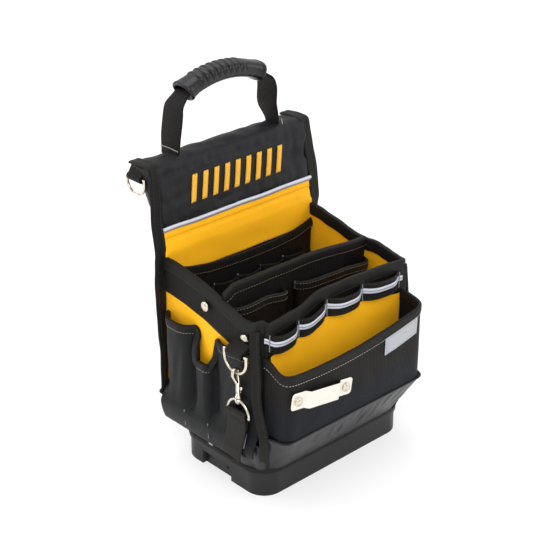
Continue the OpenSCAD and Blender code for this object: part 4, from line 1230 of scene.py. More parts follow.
@dataclass
class FrontPocket:
    """The gusseted front pocket: one sheet bent round three sides, with a bound edge."""

    corner: float = 17.0
    binding: float = 9.5
    bulge: float = 2.4
    low_x: float = -50.0
    swell_height: float = 85.0
    low_edge: float = 176.3
    thickness: float = 2.6
    body: str = "bag"

    def face_y(self, x: Array, z: Array) -> Array:
        """Depth of the front face: a hump across its width, a half wave up it, and soft creases."""
        width = PLAN.pocket_left + PLAN.pocket_right
        t = np.clip((z - PLAN.front_seam) / self.swell_height, 0, 1)
        across = hump((x + PLAN.pocket_left) / width, 4.0)
        crease = 0.7 * ripple(x / 55.0, z / 120.0, 31) * np.sin(math.pi * np.clip(t * 1.15, 0, 1))
        return -PLAN.pocket_face - self.bulge * across * np.sin(math.pi * t) - crease

    def edge_z(self, x: Array, y: Array) -> Array:
        """Height of the bound edge: it rises to both ends by squares, and again along the side gussets."""
        right = 13.5 * (np.clip(x - self.low_x, 0, None) / 141.0) ** 2
        left = 4.0 * (np.clip(self.low_x - x, 0, None) / 69.0) ** 2
        gusset = ease((y + PLAN.pocket_face - 4) / 30.0) * np.where(x < 0, 11.0, 5.0)
        return self.low_edge + right + left + gusset

    def _plan(self) -> Array:
        """The pocket's line in plan."""
        left, right, face, wall = PLAN.pocket_left, PLAN.pocket_right, PLAN.pocket_face, PLAN.front
        corners = [(1.5 - left, 0.5 - wall), (-left, -face), (right, -face), (right - 1.0, 0.5 - wall)]
        return rounded(corners, self.corner, 2.0)

    def _at(self, plan: Array, z: Array, out: float = 0.0) -> Array:
        """Points on the cloth above a plan line, moved off it along its normals."""
        along = tangents(plan)
        normal = np.stack([along[:, 1], -along[:, 0]], axis=1)
        front = np.clip(-normal[:, 1], 0, 1) ** 2
        swell = (-PLAN.pocket_face - self.face_y(plan[:, 0], z)) * front
        t = np.clip((z - PLAN.front_seam) / self.swell_height, 0, 1)
        pleat = -2.6 * np.sin(math.pi * t) * hump((plan[:, 1] + PLAN.pocket_face) / 37.0) * (1 - front)
        flat = plan + normal * (swell + pleat + out)[:, None]
        return np.column_stack([flat, z])

    def _normals(self, plan: Array) -> Array:
        """Outward directions of a plan line, level."""
        along = tangents(plan)
        return np.column_stack([along[:, 1], -along[:, 0], 0 * along[:, 0]])

    def build(self) -> None:
        """Builds the cloth, its lining, binding and stitches."""
        plan = self._plan()
        edge = self.edge_z(*plan.T)
        share = np.linspace(0.0, 1.0, 26)
        foot, rise = PLAN.front_seam - 1, edge - PLAN.front_seam - 1
        grid = np.stack([self._at(plan, foot + rise * t) for t in share], axis=1)
        cloth = skin(grid, CENTRE).build("front_pocket_cloth", self.body, POCKET_CLOTH)
        thicken(cloth, self.thickness)
        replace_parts(cloth, "front_pocket")
        self._lining(plan, edge)
        self._binding(plan, edge)

    def _lining(self, plan: Array, edge: Array) -> None:
        """Lining inside both gussets, black as painted shade over what is a yellow lining, and the pocket's
        floor.
        """
        lining = Surface()
        for keep in (plan[:, 0] < -PLAN.pocket_left + 6, plan[:, 0] > PLAN.pocket_right - 6):
            part, top = plan[keep], edge[keep] - 4
            levels = np.linspace(0.0, 1.0, 12)
            grid = np.stack([self._at(part, 118 + (top - 118) * t, out=-3.2) for t in levels], axis=1)
            lining.grid(grid, flip=outward(grid, np.array([0.0, -90.0, 150.0])))
        # Black here is painted shade: the gussets' lining is yellow and only dark in their shadow.
        lining.build("front_pocket_lining_in_shade", self.body, BLACK_CLOTH)
        x = np.linspace(3 - PLAN.pocket_left, PLAN.pocket_right - 3, 40)
        y = np.linspace(3 - PLAN.pocket_face, -PLAN.front - 0.5, 8)
        xx, yy = np.meshgrid(x, y, indexing="ij")
        floor = np.stack([xx, yy, np.full_like(xx, PLAN.front_seam + 1.0)], axis=-1)
        skin(floor, (0, 0, 0)).build("front_pocket_floor", self.body, BLACK_CLOTH)

    def _binding(self, plan: Array, edge: Array) -> None:
        """The folded binding along the edge and the row of stitches below it."""
        normal = self._normals(plan)
        wave = 0.35 * ripple(plan[:, 0] / 40.0, plan[:, 1] / 40.0, 33)
        path = self._at(plan, edge - self.binding / 2 + wave, out=-1.4)
        profile = stadium(5.0, self.binding + 0.6, 24, 5.0)
        piece = folded(path, normal, profile).build("front_pocket_edge", self.body, BINDING)
        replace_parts(piece, "front_pocket_binding")
        rows = Surface()
        stitches(rows, self._at(plan, edge - self.binding - 1.6, out=0.1), normal, 3.9, 2.9, 0.42)
        rows.build("front_pocket_stitches", self.body, THREAD_LIGHT)


@dataclass
class TapeClip:
    """The bent steel strip with its two domed rivets."""

    pocket: FrontPocket
    middle: tuple[float, float] = (-65.0, 142.0)
    length: float = 97.0
    height: float = 21.0
    thickness: float = 1.6
    stand: float = 5.0
    tilt: float = math.radians(9.0)
    rivet_inset: float = 10.0
    corner: float = 4.5
    body: str = "bag"

    def _place(self, a: Array, h: Array, off: Array) -> Array:
        """Points at lengths a along the strip, heights h across it and distances off the cloth."""
        x = self.middle[0] + a * math.cos(self.tilt) + h * math.sin(self.tilt)
        z = self.middle[1] - a * math.sin(self.tilt) + h * math.cos(self.tilt)
        seat = -PLAN.pocket_face - self.pocket.bulge - 0.5
        return np.stack([x, seat - off, z], axis=-1)

    def build(self) -> None:
        """Builds strip and rivets."""
        half = self.length / 2
        a = np.linspace(-half, half, 130)
        past = np.clip(np.abs(a) - half + self.corner, 0, self.corner)
        reach = self.height / 2 - self.corner + np.sqrt(np.maximum(self.corner**2 - past**2, 0.01))
        across = np.linspace(-1.0, 1.0, 15)
        off = self.stand * (1 - ease((np.abs(a) - 22.0) / 6.5)) + 0.2
        grid = self._place(a[:, None], reach[:, None] * across, np.broadcast_to(off[:, None], (130, 15)))
        strip_piece = skin(grid, (0.0, 0.0, 142.0)).build("clip_strip", self.body, STRIP_STEEL)
        thicken(strip_piece, self.thickness, 1.0)
        soften(strip_piece, 0.5, 2)
        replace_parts(strip_piece, "tape_clip")
        heads = Surface()
        for side in Side:
            along, out = np.array(side.value * (half - self.rivet_inset)), np.array(self.thickness + 0.3)
            centre = self._place(along, np.array(0.0), out)
            rivet(heads, centre, FORWARD, 5.6, 2.6)
        piece = heads.build("clip_rivets", self.body, NICKEL)
        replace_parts(piece, "tape_clip_rivets")


def rivet(surface: Surface, centre: Array, axis: Array, radius: float, height: float) -> Surface:
    """Adds a domed rivet cap: a rolled rim, a shallow groove and a dome, turned round an axis.

    Args:
        surface: The surface that takes it.
        centre: Middle of its foot.
        axis: Direction off the cloth.
        radius: Radius of its rim.
        height: Height of its dome.

    Returns:
        The surface.
    """
    share = np.array([[1.0, -0.35], [1.0, 0.18], [0.95, 0.32], [0.86, 0.36], [0.78, 0.32], [0.72, 0.42]])
    dome = np.linspace(0.0, 1.0, 7)[1:-1]
    dome = dome * math.pi / 2
    profile = np.concatenate([share, np.stack([0.7 * np.cos(dome), 0.45 + 0.5 * np.sin(dome)], 1)])
    turn = np.linspace(0.0, math.tau, 32, endpoint=False)
    side = unit(np.cross(axis, [0.31, 0.17, 0.93]))
    other = np.cross(axis, side)
    ring = np.cos(turn)[:, None] * side + np.sin(turn)[:, None] * other
    grid = centre + profile[:, None, :1] * radius * ring + (profile[:, 1:] * height)[:, None] * axis
    return surface.grid(grid, wrap_columns=True, caps=True, flip=not cap_outward(grid, axis))


def cap_outward(grid: Array, axis: Array) -> bool:
    """Whether a turned cap's last ring faces along its axis."""
    down, across = grid[-1, 0] - grid[-2, 0], grid[-2, 1] - grid[-2, 0]
    return float(np.dot(np.cross(down, across), axis)) > 0


@dataclass
class LabelPatch:
    """The bare grey patch below the pocket's edge, with a raised border."""

    pocket: FrontPocket
    left: float = 40.0
    right: float = 96.0
    height: float = 21.0
    body: str = "bag"

    def build(self) -> None:
        """Builds the patch, bent with the cloth, and its border."""
        x = np.linspace(self.left, self.right, 30)
        top = self.pocket.edge_z(x, np.full_like(x, -PLAN.pocket_face)) - self.pocket.binding - 0.5
        share = np.linspace(0.0, 1.0, 12)
        z = top[:, None] - self.height * share
        xx = np.broadcast_to(x[:, None], z.shape) + (0.5 - share) * 2.0
        grid = np.stack([xx, self.pocket.face_y(xx, z) - 0.3, z], axis=-1)
        patch = thicken(skin(grid, CENTRE).build("label_cloth", self.body, LABEL), 0.9, 1.0)
        soften(patch, 0.3, 2)
        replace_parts(patch, "label_patch")
        inner = grid[2:-2, 1:-1]
        loop = np.concatenate([inner[:, 0], inner[-1, 1:], inner[-2::-1, -1], inner[0, -2:0:-1]])
        border = tube(loop - [0.0, 0.95, 0.0], circle(0.32, 6), FORWARD, closed=True)
        border.build("label_border", self.body, LABEL)


@dataclass
class FrontLoops:
    """The row of four webbing loops with the silver ribbon sewn to them."""

    tacks: tuple[float, ...] = (-110.0, -61.0, -14.0, 44.0, 103.0)
    depths: tuple[float, ...] = (10.0, 9.0, 11.0, 9.0)
    left_end: float = -115.5
    right_end: float = 108.5
    top: float = 11.5
    height: float = 24.0
    ribbon_drop: float = 22.0
    ribbon_height: float = 6.4
    body: str = "bag"

    def _out(self, x: Array) -> Array:
        """Distance off the wall: between two tacks a flat-topped hump, at them the band lies close."""
        out = np.full_like(x, 1.2)
        for low, high, depth in zip(self.tacks[:-1], self.tacks[1:], self.depths):
            t = (x - low - 2.0) / (high - low - 4.0)
            inside = (t > 0) & (t < 1)
            out = out + np.where(inside, depth * hump(t, 2.8), 0.0)
        return out

    def _at(self, x: Array, drop: Array, extra: float = 0.0) -> Array:
        """Points on the loops' outer face at a drop below the rim, the top edge opening outward."""
        out = self._out(x)
        z = front_rim(x) - drop - 0.12 * out
        tip = 0.16 * (22.0 - drop) / 11.0 * out
        return np.stack([x, front_wall_y(x, z) - out - tip - extra, z], axis=-1)

    def build(self) -> None:
        """Builds backing, band, ribbon, stitches and tacks."""
        self._backing()
        span = np.linspace(self.left_end, self.right_end, 600)
        x = resample(np.stack([span, self._out(span)], 1), 1.4)[:, 0]
        drops = np.linspace(self.top + self.height, self.top, 10)
        band_grid = np.stack([self._at(x, np.full_like(x, d)) for d in drops], axis=1)
        band = thicken(skin(band_grid, CENTRE).build("loop_band", self.body, WEBBING), 1.6)
        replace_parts(band, "front_tool_loops")
        half = self.ribbon_height / 2
        drops = np.linspace(self.ribbon_drop + half, self.ribbon_drop - half, 6)
        wide = np.concatenate([np.linspace(-118.0, -115.6, 3), x])
        ribbon_grid = np.stack([self._at(wide, np.full_like(wide, d), 0.25) for d in drops], axis=1)
        ribbon = thicken(skin(ribbon_grid, CENTRE).build("loop_ribbon", self.body, SILVER), 0.7, 1.0)
        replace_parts(ribbon, "reflective_ribbon")
        drops = np.linspace(self.ribbon_drop + 0.55, self.ribbon_drop - 0.55, 3)
        line_grid = np.stack([self._at(wide, np.full_like(wide, d), 1.0) for d in drops], axis=1)
        thicken(skin(line_grid, CENTRE).build("loop_ribbon_line", self.body, DULL_SILVER), 0.25, 1.0)
        self._tacks(x)

    def _backing(self) -> None:
        """The dark webbing on the wall behind the loops, from under the binding to below the band."""
        x = np.linspace(-116.0, 116.0, 70)[:, None]
        low = np.interp(x, [-110.0, -70.0, -15.0, 43.0, 100.0], [189.0, 193.0, 205.0, 204.0, 196.0])
        z = low + (front_rim(x) - 6.0 - low) * np.linspace(0.0, 1.0, 10)
        grid = np.stack([x + 0.0 * z, front_wall_y(x + 0.0 * z, z) - 0.9, z], axis=-1)
        thicken(skin(grid, CENTRE).build("loop_backing", self.body, WEBBING), 0.8)

    def _tacks(self, x: Array) -> None:
        """Bar tacks across the band at each end of a loop, and dark stitches along its edges."""
        made = Surface()
        for place in self.tacks:
            ends = self._at(np.full(2, place), np.array([self.top + 1.5, self.top + self.height - 2.0]), 1.2)
            bar_tack(made, ends[0], ends[1], FORWARD, 1.5)
        made.build("loop_tacks", self.body, THREAD_GREY)
        rows = Surface()
        for drop in (self.top + 2.0, self.top + self.height - 2.0):
            stitches(rows, self._at(x, np.full_like(x, drop)), FORWARD, 3.4, 2.5, 0.32)
        rows.build("loop_stitches", self.body, THREAD_DARK)


# ---------------------------------------------------------------- sides


@dataclass
class SidePockets:
    """Three pockets sewn from one strip on a side: shallow front, dipped middle and plain rear."""

    side: Side
    nodes: tuple[str, ...]
    front: float = -70.0
    rear: float = 93.0
    splits: tuple[float, float] = (4.0, 40.0)
    depths: tuple[float, float, float] = (8.6, 12.6, 13.0)
    binding: float = 9.0
    dip: float = 37.0
    body: str = "bag"

    def _edge(self, y: Array) -> Array:
        """Height of the bound edge: a slight rise forward, and a round dip over the middle pocket."""
        first, second = self.splits
        dip = ease((y - first + 5) / 12.0) * ease((second - y + 1) / 12.0)
        return 189.0 + 5.0 * ease((-10 - y) / 50.0) - self.dip * dip

    def _out(self, y: Array, z: Array) -> Array:
        """Distance off the wall.

        Between two splits it is a rounded hump, fuller at the mouth; folds lean across the cloth; below the
        seam it follows the skirt inward.
        """
        bounds = (self.front, *self.splits, self.rear)
        out = np.full(np.broadcast(y, z).shape, 1.6)
        for low, high, depth in zip(bounds[:-1], bounds[1:], self.depths):
            t = (y - low - 2.5) / (high - low - 5.0)
            inside = (t > 0) & (t < 1)
            out = out + np.where(inside, depth * hump(t, 3.4), 0.0)
        up = np.clip((z - PLAN.side_seam) / 110.0, 0, 1)
        folds = ripple((y + 0.25 * z) / 26.0, z / 170.0, 41 + self.side.value) * np.sin(math.pi * up) * 1.5
        full = out * (0.82 + 0.18 * up) + folds * ease(out / 6.0)
        seam = 9.0 + (y - self.front) / 163.0 * 5.0
        low = ease((PLAN.side_seam + 22 - z) / 30.0)
        share = np.clip((z - PLAN.tray_height) / (PLAN.side_seam - PLAN.tray_height), 0.0, 1.0)
        skirt = 3.6 + (seam - 3.6) * share + 4.4 * np.sin(math.pi * share) ** 0.7 + 2.0 * share
        return full * (1 - low) + np.maximum(skirt, 0.6 * full * share) * low

    def _at(self, y: Array, z: Array, extra: float = 0.0) -> Array:
        """Points on the cloth."""
        x = self.side.value * (PLAN.half_width + self._out(y, z) + extra)
        return np.stack([x, np.broadcast_to(y, x.shape), np.broadcast_to(z, x.shape)], axis=-1)

    def _line(self, drop: float, extra: float = 0.0) -> Array:
        """A line on the cloth at a drop below the bound edge, evenly spaced."""
        y = np.linspace(self.rear, self.front, 400)
        return resample(self._at(y, self._edge(y) - drop, extra), 2.0)

    def build(self) -> None:
        """Builds cloth, binding, stitches and tacks."""
        y = resample(np.stack([np.linspace(self.rear, self.front, 500)] * 2, 1), 1.6)[:, 0]
        share = np.linspace(0.0, 1.0, 40)[None]
        foot = 45.0 + 17.0 * ease((5 - y) / 55.0)[:, None]
        z = foot + (self._edge(y)[:, None] - 4 - foot) * share
        grid = self._at(y[:, None], z)
        name = self.side.name.lower()
        cloth = thicken(skin(grid, CENTRE).build(f"{name}_pocket_cloth", self.body, SIDE_CLOTH), 2.2)
        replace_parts(cloth, *self.nodes)
        path = self._line(self.binding / 2, -1.1)
        out = np.array([float(self.side.value), 0.0, 0.0])
        profile = stadium(4.6, self.binding + 0.6, 22, 5.0)
        edge = tube(path, profile, out).build(f"{name}_pocket_edge", self.body, BINDING)
        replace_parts(edge, f"{name}_pocket_bindings")
        rows = Surface()
        stitches(rows, self._line(self.binding + 1.2, 0.1), out, 3.8, 2.8, 0.38)
        rows.build(f"{name}_pocket_stitches", self.body, THREAD_LIGHT)
        self._tacks(name, out)

    def _tacks(self, name: str, out: Array) -> None:
        """Bar tacks at the top and foot of the folds between pockets."""
        made = Surface()
        tops = ((88.0, 176, 188), (40.5, 168, 186), (2.0, 168, 187))
        feet = ((50.0, 54, 76), (8.0, 55, 75), (-55.0, 71, 88))
        for place, low, high in tops + feet:
            ends = self._at(np.full(2, place), np.array([low, high], float), 0.3)
            bar_tack(made, ends[0], ends[1], out, 1.4)
        made.build(f"{name}_pocket_tacks", self.body, THREAD_GREY)


@dataclass
class SideRivets:
    """Domed rivets through rim band and hem on both sides."""

    body: str = "bag"

    def build(self) -> None:
        """Builds the rivets where the frame has them."""
        for node, name, tilt in (
            ("rim_rivets", "rim_rivet_caps", 0.0),
            ("hem_rivets", "hem_rivet_caps", -0.35),
        ):
            made = Surface()
            for centre, side in islands(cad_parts[node]):
                axis = unit(np.array([side, 0.0, tilt]))
                foot = np.array([side * (abs(centre[0]) - 0.6), centre[1], centre[2]])
                rivet(made, foot, axis, 6.0, 2.4)
            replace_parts(made.build(name, self.body, NICKEL), node)


def islands(part: bpy.types.Object) -> list[tuple[Array, int]]:
    """Middles of a part's separate heads, with the side each is on, in millimetres."""
    points = gathered(part.data.vertices, "co", 3) / MM
    found = []
    while len(points):
        near = np.linalg.norm(points - points[0], axis=1) < 16.0
        group = points[near]
        found.append(((group.min(0) + group.max(0)) / 2, int(np.sign(group[0, 0]))))
        points = points[~near]
    return found


# ---------------------------------------------------------------- back and inside


def face_uv(mesh: bpy.types.Mesh) -> None:
    """Gives a mesh its cloth UVs: each face takes the two coordinates that its normal points along least."""
    corner = gathered(mesh.loops, "vertex_index", 1, np.int32)[:, 0]
    total = gathered(mesh.polygons, "loop_total", 1, np.int32)[:, 0]
    normal = gathered(mesh.polygons, "normal", 3)
    main = np.repeat(np.argmax(np.abs(normal), axis=1), total)
    first, second = np.array([1, 0, 0])[main], np.array([2, 2, 1])[main]
    place = gathered(mesh.vertices, "co", 3)[corner]
    index = np.arange(len(corner))
    uv = np.stack([place[index, first], place[index, second]], axis=1)
    layer = mesh.uv_layers.get("cloth") or mesh.uv_layers.new(name="cloth")
    layer.data.foreach_set("uv", uv.astype(np.float32).ravel())


def mesh_points(mesh: bpy.types.Mesh) -> tuple[Array, Array]:
    """A mesh's points and normals, the points in millimetres."""
    return gathered(mesh.vertices, "co", 3) / MM, gathered(mesh.vertex_normals, "vector", 3)


def set_points(mesh: bpy.types.Mesh, points: Array) -> None:
    """Moves a mesh's points to places in millimetres."""
    mesh.vertices.foreach_set("co", (points * MM).astype(np.float32).ravel())


def apply_modifiers(piece: bpy.types.Object) -> None:
    """Replaces a piece's mesh by the result of its modifiers."""
    graph = bpy.context.evaluated_depsgraph_get()
    made = bpy.data.meshes.new_from_object(piece.evaluated_get(graph))
    piece.modifiers.clear()
    piece.data = made


def stuff(piece: bpy.types.Object, voxel: float, cap: float, pressure: float = 4.0) -> None:
    """Turns a closed form into a stuffed one by a short cloth simulation.

    The mesh is remeshed to even cells, then blown up a little without gravity; each point moves by no
    more than the cap.

    Args:
        piece: The closed form.
        voxel: Size of its new cells.
        cap: Greatest movement.
        pressure: Pressure inside it.
    """
    remesh = piece.modifiers.new("remesh", "REMESH")
    remesh.mode = "VOXEL"
    remesh.voxel_size = voxel * MM
    apply_modifiers(piece)
    start, _ = mesh_points(piece.data)
    cloth = piece.modifiers.new("cloth", "CLOTH")
    cloth.settings.quality = 4
    cloth.settings.mass = 0.3
    cloth.settings.tension_stiffness = 12
    cloth.settings.compression_stiffness = 12
    cloth.settings.bending_stiffness = 1.5
    cloth.settings.use_pressure = True
    cloth.settings.uniform_pressure_force = pressure
    cloth.settings.effector_weights.gravity = 0.0
    cloth.collision_settings.use_collision = False
    cloth.point_cache.frame_start, cloth.point_cache.frame_end = 1, 20
    scene = bpy.context.scene
    for step in range(1, 21):
        scene.frame_set(step)
    apply_modifiers(piece)
    scene.frame_set(1)
    moved, _ = mesh_points(piece.data)
    change = moved - start
    length = np.linalg.norm(change, axis=1, keepdims=True)
    held = start + change * np.minimum(1.0, cap / np.maximum(length, 1e-6))
    set_points(piece.data, held)


@dataclass
class TallBack:
    """The tall back: stiff panel, padded head with its emblem, piping, yellow band and edge bindings."""

    head_low: float = 292.0
    head_swell: float = 330.0
    depth: float = 37.5
    head_top: float = 370.0
    head_half: float = 121.4
    inner_half: float = 119.0
    flange: float = 16.4
    flange_half: float = 133.5
    flange_low: float = 76.0
    flange_high: float = 361.0
    bars: int = 9
    body: str = "bag"

    def build(self) -> None:
        """Builds every layer of the back."""
        self._panel()
        head = self._head()
        self._yellow()
        self._piping()
        self._emblem(head)
        self._bindings()

    def face(self, x: Array, z: Array, out: float) -> Array:
        """Points on the back's inner face, moved toward the front."""
        x, z = np.broadcast_arrays(np.asarray(x, float), np.asarray(z, float))
        return np.stack([x, PLAN.back_y(z) - out, z], axis=-1)

    def _panel(self) -> None:
        """The stiff panel from the tray up to the head, its lower corners drawn in."""
        z = np.linspace(60.0, 362.0, 60)
        half = PLAN.half_width + 1.0 - 3.0 * ease((PLAN.side_seam - z) / 20.0)
        share = np.linspace(-1.0, 1.0, 60)
        x = half[:, None] * share
        grid = self.face(x, np.broadcast_to(z[:, None], x.shape), 0.0)
        grid[..., 1] += 0.8 * ripple(x / 70.0, grid[..., 2] / 70.0, 51) * ease((270 - grid[..., 2]) / 20.0)
        panel = skin(grid, (0.0, 60.0, 150.0)).build("back_cloth", self.body, BLACK_CLOTH)
        thicken(panel, 3.4, 1.0)
        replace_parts(panel, "back_panel")

    def _head(self) -> bpy.types.Object:
        """The padded head: flat in front, a shelf on top, sloping back into the panel behind."""
        low, top = 268.0, self.head_top
        front = PLAN.back_y(top) - 2.0
        corners = np.array(
            [
                [PLAN.back_y(self.head_low) - 1.6, self.head_low],
                [PLAN.back_y(self.head_swell) - 2.4, self.head_swell],
                [front, top - 1.0],
                [front + self.depth, top - 2.5],
                [front + self.depth, top - 14.0],
                [PLAN.back_y(low) + 5.5, low],
                [PLAN.back_y(low) + 3.0, low],
                [PLAN.back_y(self.head_low) + 2.0, self.head_low - 1.0],
            ]
        )
        ring = rounded(np.concatenate([corners, corners[:2]]), 4.0, 2.5)
        ring = ring[:-3]
        edge = self.head_half
        x = np.concatenate([[-edge, 0.8 - edge], np.linspace(3.4 - edge, edge - 3.4, 60), [edge - 0.8, edge]])
        shrink = np.where(np.abs(x) > edge - 2.4, 0.94, 1.0)
        middle = ring.mean(0)
        profile = middle + (ring - middle) * shrink[:, None, None]
        high = ease((profile[..., 1] - self.head_swell) / 30.0)
        profile[..., 1] -= high * (2.5 * ease((np.abs(x) - 100.0) / 22.0))[:, None]
        wide = x[:, None] * (1.0 + 5.0 / edge * ease((profile[..., 1] - 354.0) / 6.0))
        grid = np.concatenate([wide[..., None], profile], axis=-1)
        head = tube_skin(grid).build("back_head", self.body, PANEL_CLOTH)
        stuff(head, 4.5, 3.2)
        smooth = head.modifiers.new("smooth", "SUBSURF")
        smooth.levels = smooth.render_levels = 1
        apply_modifiers(head)
        self._wrinkle(head)
        PANEL_CLOTH.dress(head)
        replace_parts(head, "back_wedge", "upper_panel", "top_cover")
        return head

    def _wrinkle(self, head: bpy.types.Object) -> None:
        """Presses creases into the head's cover.

        Upright creases are a ripple that is quick across and slow along the height; they fade round the
        emblem. Two pinches near the lower corners draw the cloth in, and a shallow valley runs below the
        top edge.
        """
        points, normals = mesh_points(head.data)
        x, _, z = points.T
        front = np.clip(-normals[:, 1], 0, 1)
        ridge = ripple(x / 15.0, z / 90.0, 61, 9, 0.7, 1.8) * 1.0 + ripple(x / 34.0, z / 30.0, 62) * 1.5
        emblem = ease((np.abs(x) - 70.0) / 14.0) + ease((np.abs(z - 329.0) - 18.0) / 8.0)
        pinch = 4.0 * np.exp(-(((x - 94) / 11.0) ** 2) - ((z - 326 - 0.4 * (x - 94)) / 14.0) ** 2)
        pinch += 3.2 * np.exp(-(((x + 103) / 7.0) ** 2) - ((z - 350) / 16.0) ** 2)
        shelf = 0.8 * ripple(x / 35.0, points[:, 1] / 25.0, 63) * np.clip(normals[:, 2], 0, 1)
        move = front * (ridge * np.clip(emblem, 0.1, 1.0) - pinch) + shelf
        rear = np.clip(normals[:, 1], 0, 1) * ripple(x / 50.0, z / 45.0, 64)
        moved = points + normals * (move + rear)[:, None]
        set_points(head.data, moved)
        shade_smooth(head.data)
        face_uv(head.data)

    def _yellow(self) -> None:
        """The yellow band below the piping with a stitched fold near its top."""
        x = np.linspace(-self.inner_half, self.inner_half, 100)
        z = np.linspace(228.0, 291.0, 30)
        xx, zz = np.meshgrid(x, z, indexing="ij")
        grid = self.face(xx, zz, 3.2)
        pucker = 0.35 * ripple(xx / 14.0, zz / 60.0, 71) * ease((zz - 262.0) / 24.0)
        fold = 0.8 * np.exp(-(((zz - 278.0) / 2.2) ** 2))
        grid[..., 1] += pucker + fold + 0.8 * ripple(xx / 90.0, zz / 60.0, 72)
        band = thicken(skin(grid, (0, 200, 260)).build("yellow_cloth_band", self.body, YELLOW_CLOTH), 1.0)
        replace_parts(band, "yellow_band")
        rows = Surface()
        path = self.face(x, np.full_like(x, 281.0), 4.0)
        stitches(rows, path, FORWARD, 3.6, 2.6, 0.3)
        rows.build("yellow_band_stitches", self.body, THREAD_YELLOW)

    def _piping(self) -> None:
        """The silver piping over a grey flap."""
        x = np.linspace(-self.inner_half, self.inner_half, 80)
        sag = 0.5 * ripple(x / 70.0, 0 * x, 73)
        path = self.face(x, 291.8 + sag, 4.4)
        pipe = tube(path, circle(2.1, 12), FORWARD).build("piping_tube", self.body, SILVER)
        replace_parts(pipe, "reflective_piping")
        flap = self.face(x, 289.0 + sag, 3.6)
        tube(flap, strip(3.2, 1.2), FORWARD).build("piping_flap", self.body, DULL_SILVER)

    def _emblem(self, head: bpy.types.Object) -> None:
        """A plain row of slanted, satin-stitched bars on the stuffed head, each crowned across its width."""
        cover = BVHTree.FromPolygons(
            [vertex.co for vertex in head.data.vertices], [face.vertices for face in head.data.polygons]
        )
        made = Surface()
        length, width, slant = 33.0, 8.0, 7.0
        for place in np.linspace(-68.0, 68.0, self.bars):
            along = np.linspace(-1.0, 1.0, 22)[:, None]
            across = np.linspace(-1.0, 1.0, 11)[None]
            taper = np.clip((1 - np.abs(along)) * 8, 0.0, 1.0) ** 0.5 * 0.06 + 0.94
            x = place + slant / 2 * along + width / 2 * across * taper
            z = 329.0 + length / 2 * along + 0 * across
            crown = 2.0 * (1 - np.abs(across) ** 3) * np.sqrt(np.clip((1 - np.abs(along)) * 6, 0, 1))
            grid = self.face(x, z, 60.0)
            starts = [Vector(point) for point in (grid * MM).reshape(-1, 3)]
            hits = [cover.ray_cast(start, Vector((0.0, 1.0, 0.0)))[0] or start for start in starts]
            grid[..., 1] = np.array([hit.y for hit in hits]).reshape(z.shape) / MM - crown - 0.8
            made.grid(grid, flip=not outward(grid, np.array([0.0, 300.0, 329.0])))
        bars = made.build("emblem_stitching", self.body, EMBROIDERY)
        thicken(bars, 1.2)
        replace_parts(bars, "emblem_bars")

    def _bindings(self) -> None:
        """Flat bound flanges beside the back, from the skirt up, then rearward over the head's shoulders."""
        made, rows = Surface(), Surface()
        z = np.linspace(self.flange_low, self.flange_high, 90)
        depth = PLAN.back_y(z) + 1.4 - 3.6 * ease((z - 248.0) / 24.0)
        narrow = 6.0 * ease((z - 296.0) / 66.0) + 3.0 * ease((200.0 - z) / 60.0)
        turn = [[depth[-1] + 2.0, 366.4], [depth[-1] + 20.0, 366.8], [depth[-1] + 37.0, 364.6]]
        line = rounded(np.concatenate([np.column_stack([depth, z]), turn]), 5.0, 3.0)
        for side in Side:
            outer = self.flange_half - np.interp(line[:, 1], z, narrow)
            wave = 0.9 * ripple(line[:, 1] / 50.0, 0.0 * line[:, 0], 95 + side.value)
            path = np.column_stack([side.value * (outer - self.flange / 2 + wave), line])
            off = unit(np.cross(RIGHTWARD, tangents(path)))
            made.join(tube(path, strip(self.flange, 3.2), off, up=RIGHTWARD))
            for shift in (-4.6, 4.2):
                stitches(rows, path + RIGHTWARD * side.value * shift + off * 1.6, off, 3.8, 2.8, 0.34)
        piece = made.build("back_edge_bindings", self.body, BINDING)
        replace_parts(piece, "back_bindings")
        rows.build("back_edge_stitches", self.body, THREAD_DARK)


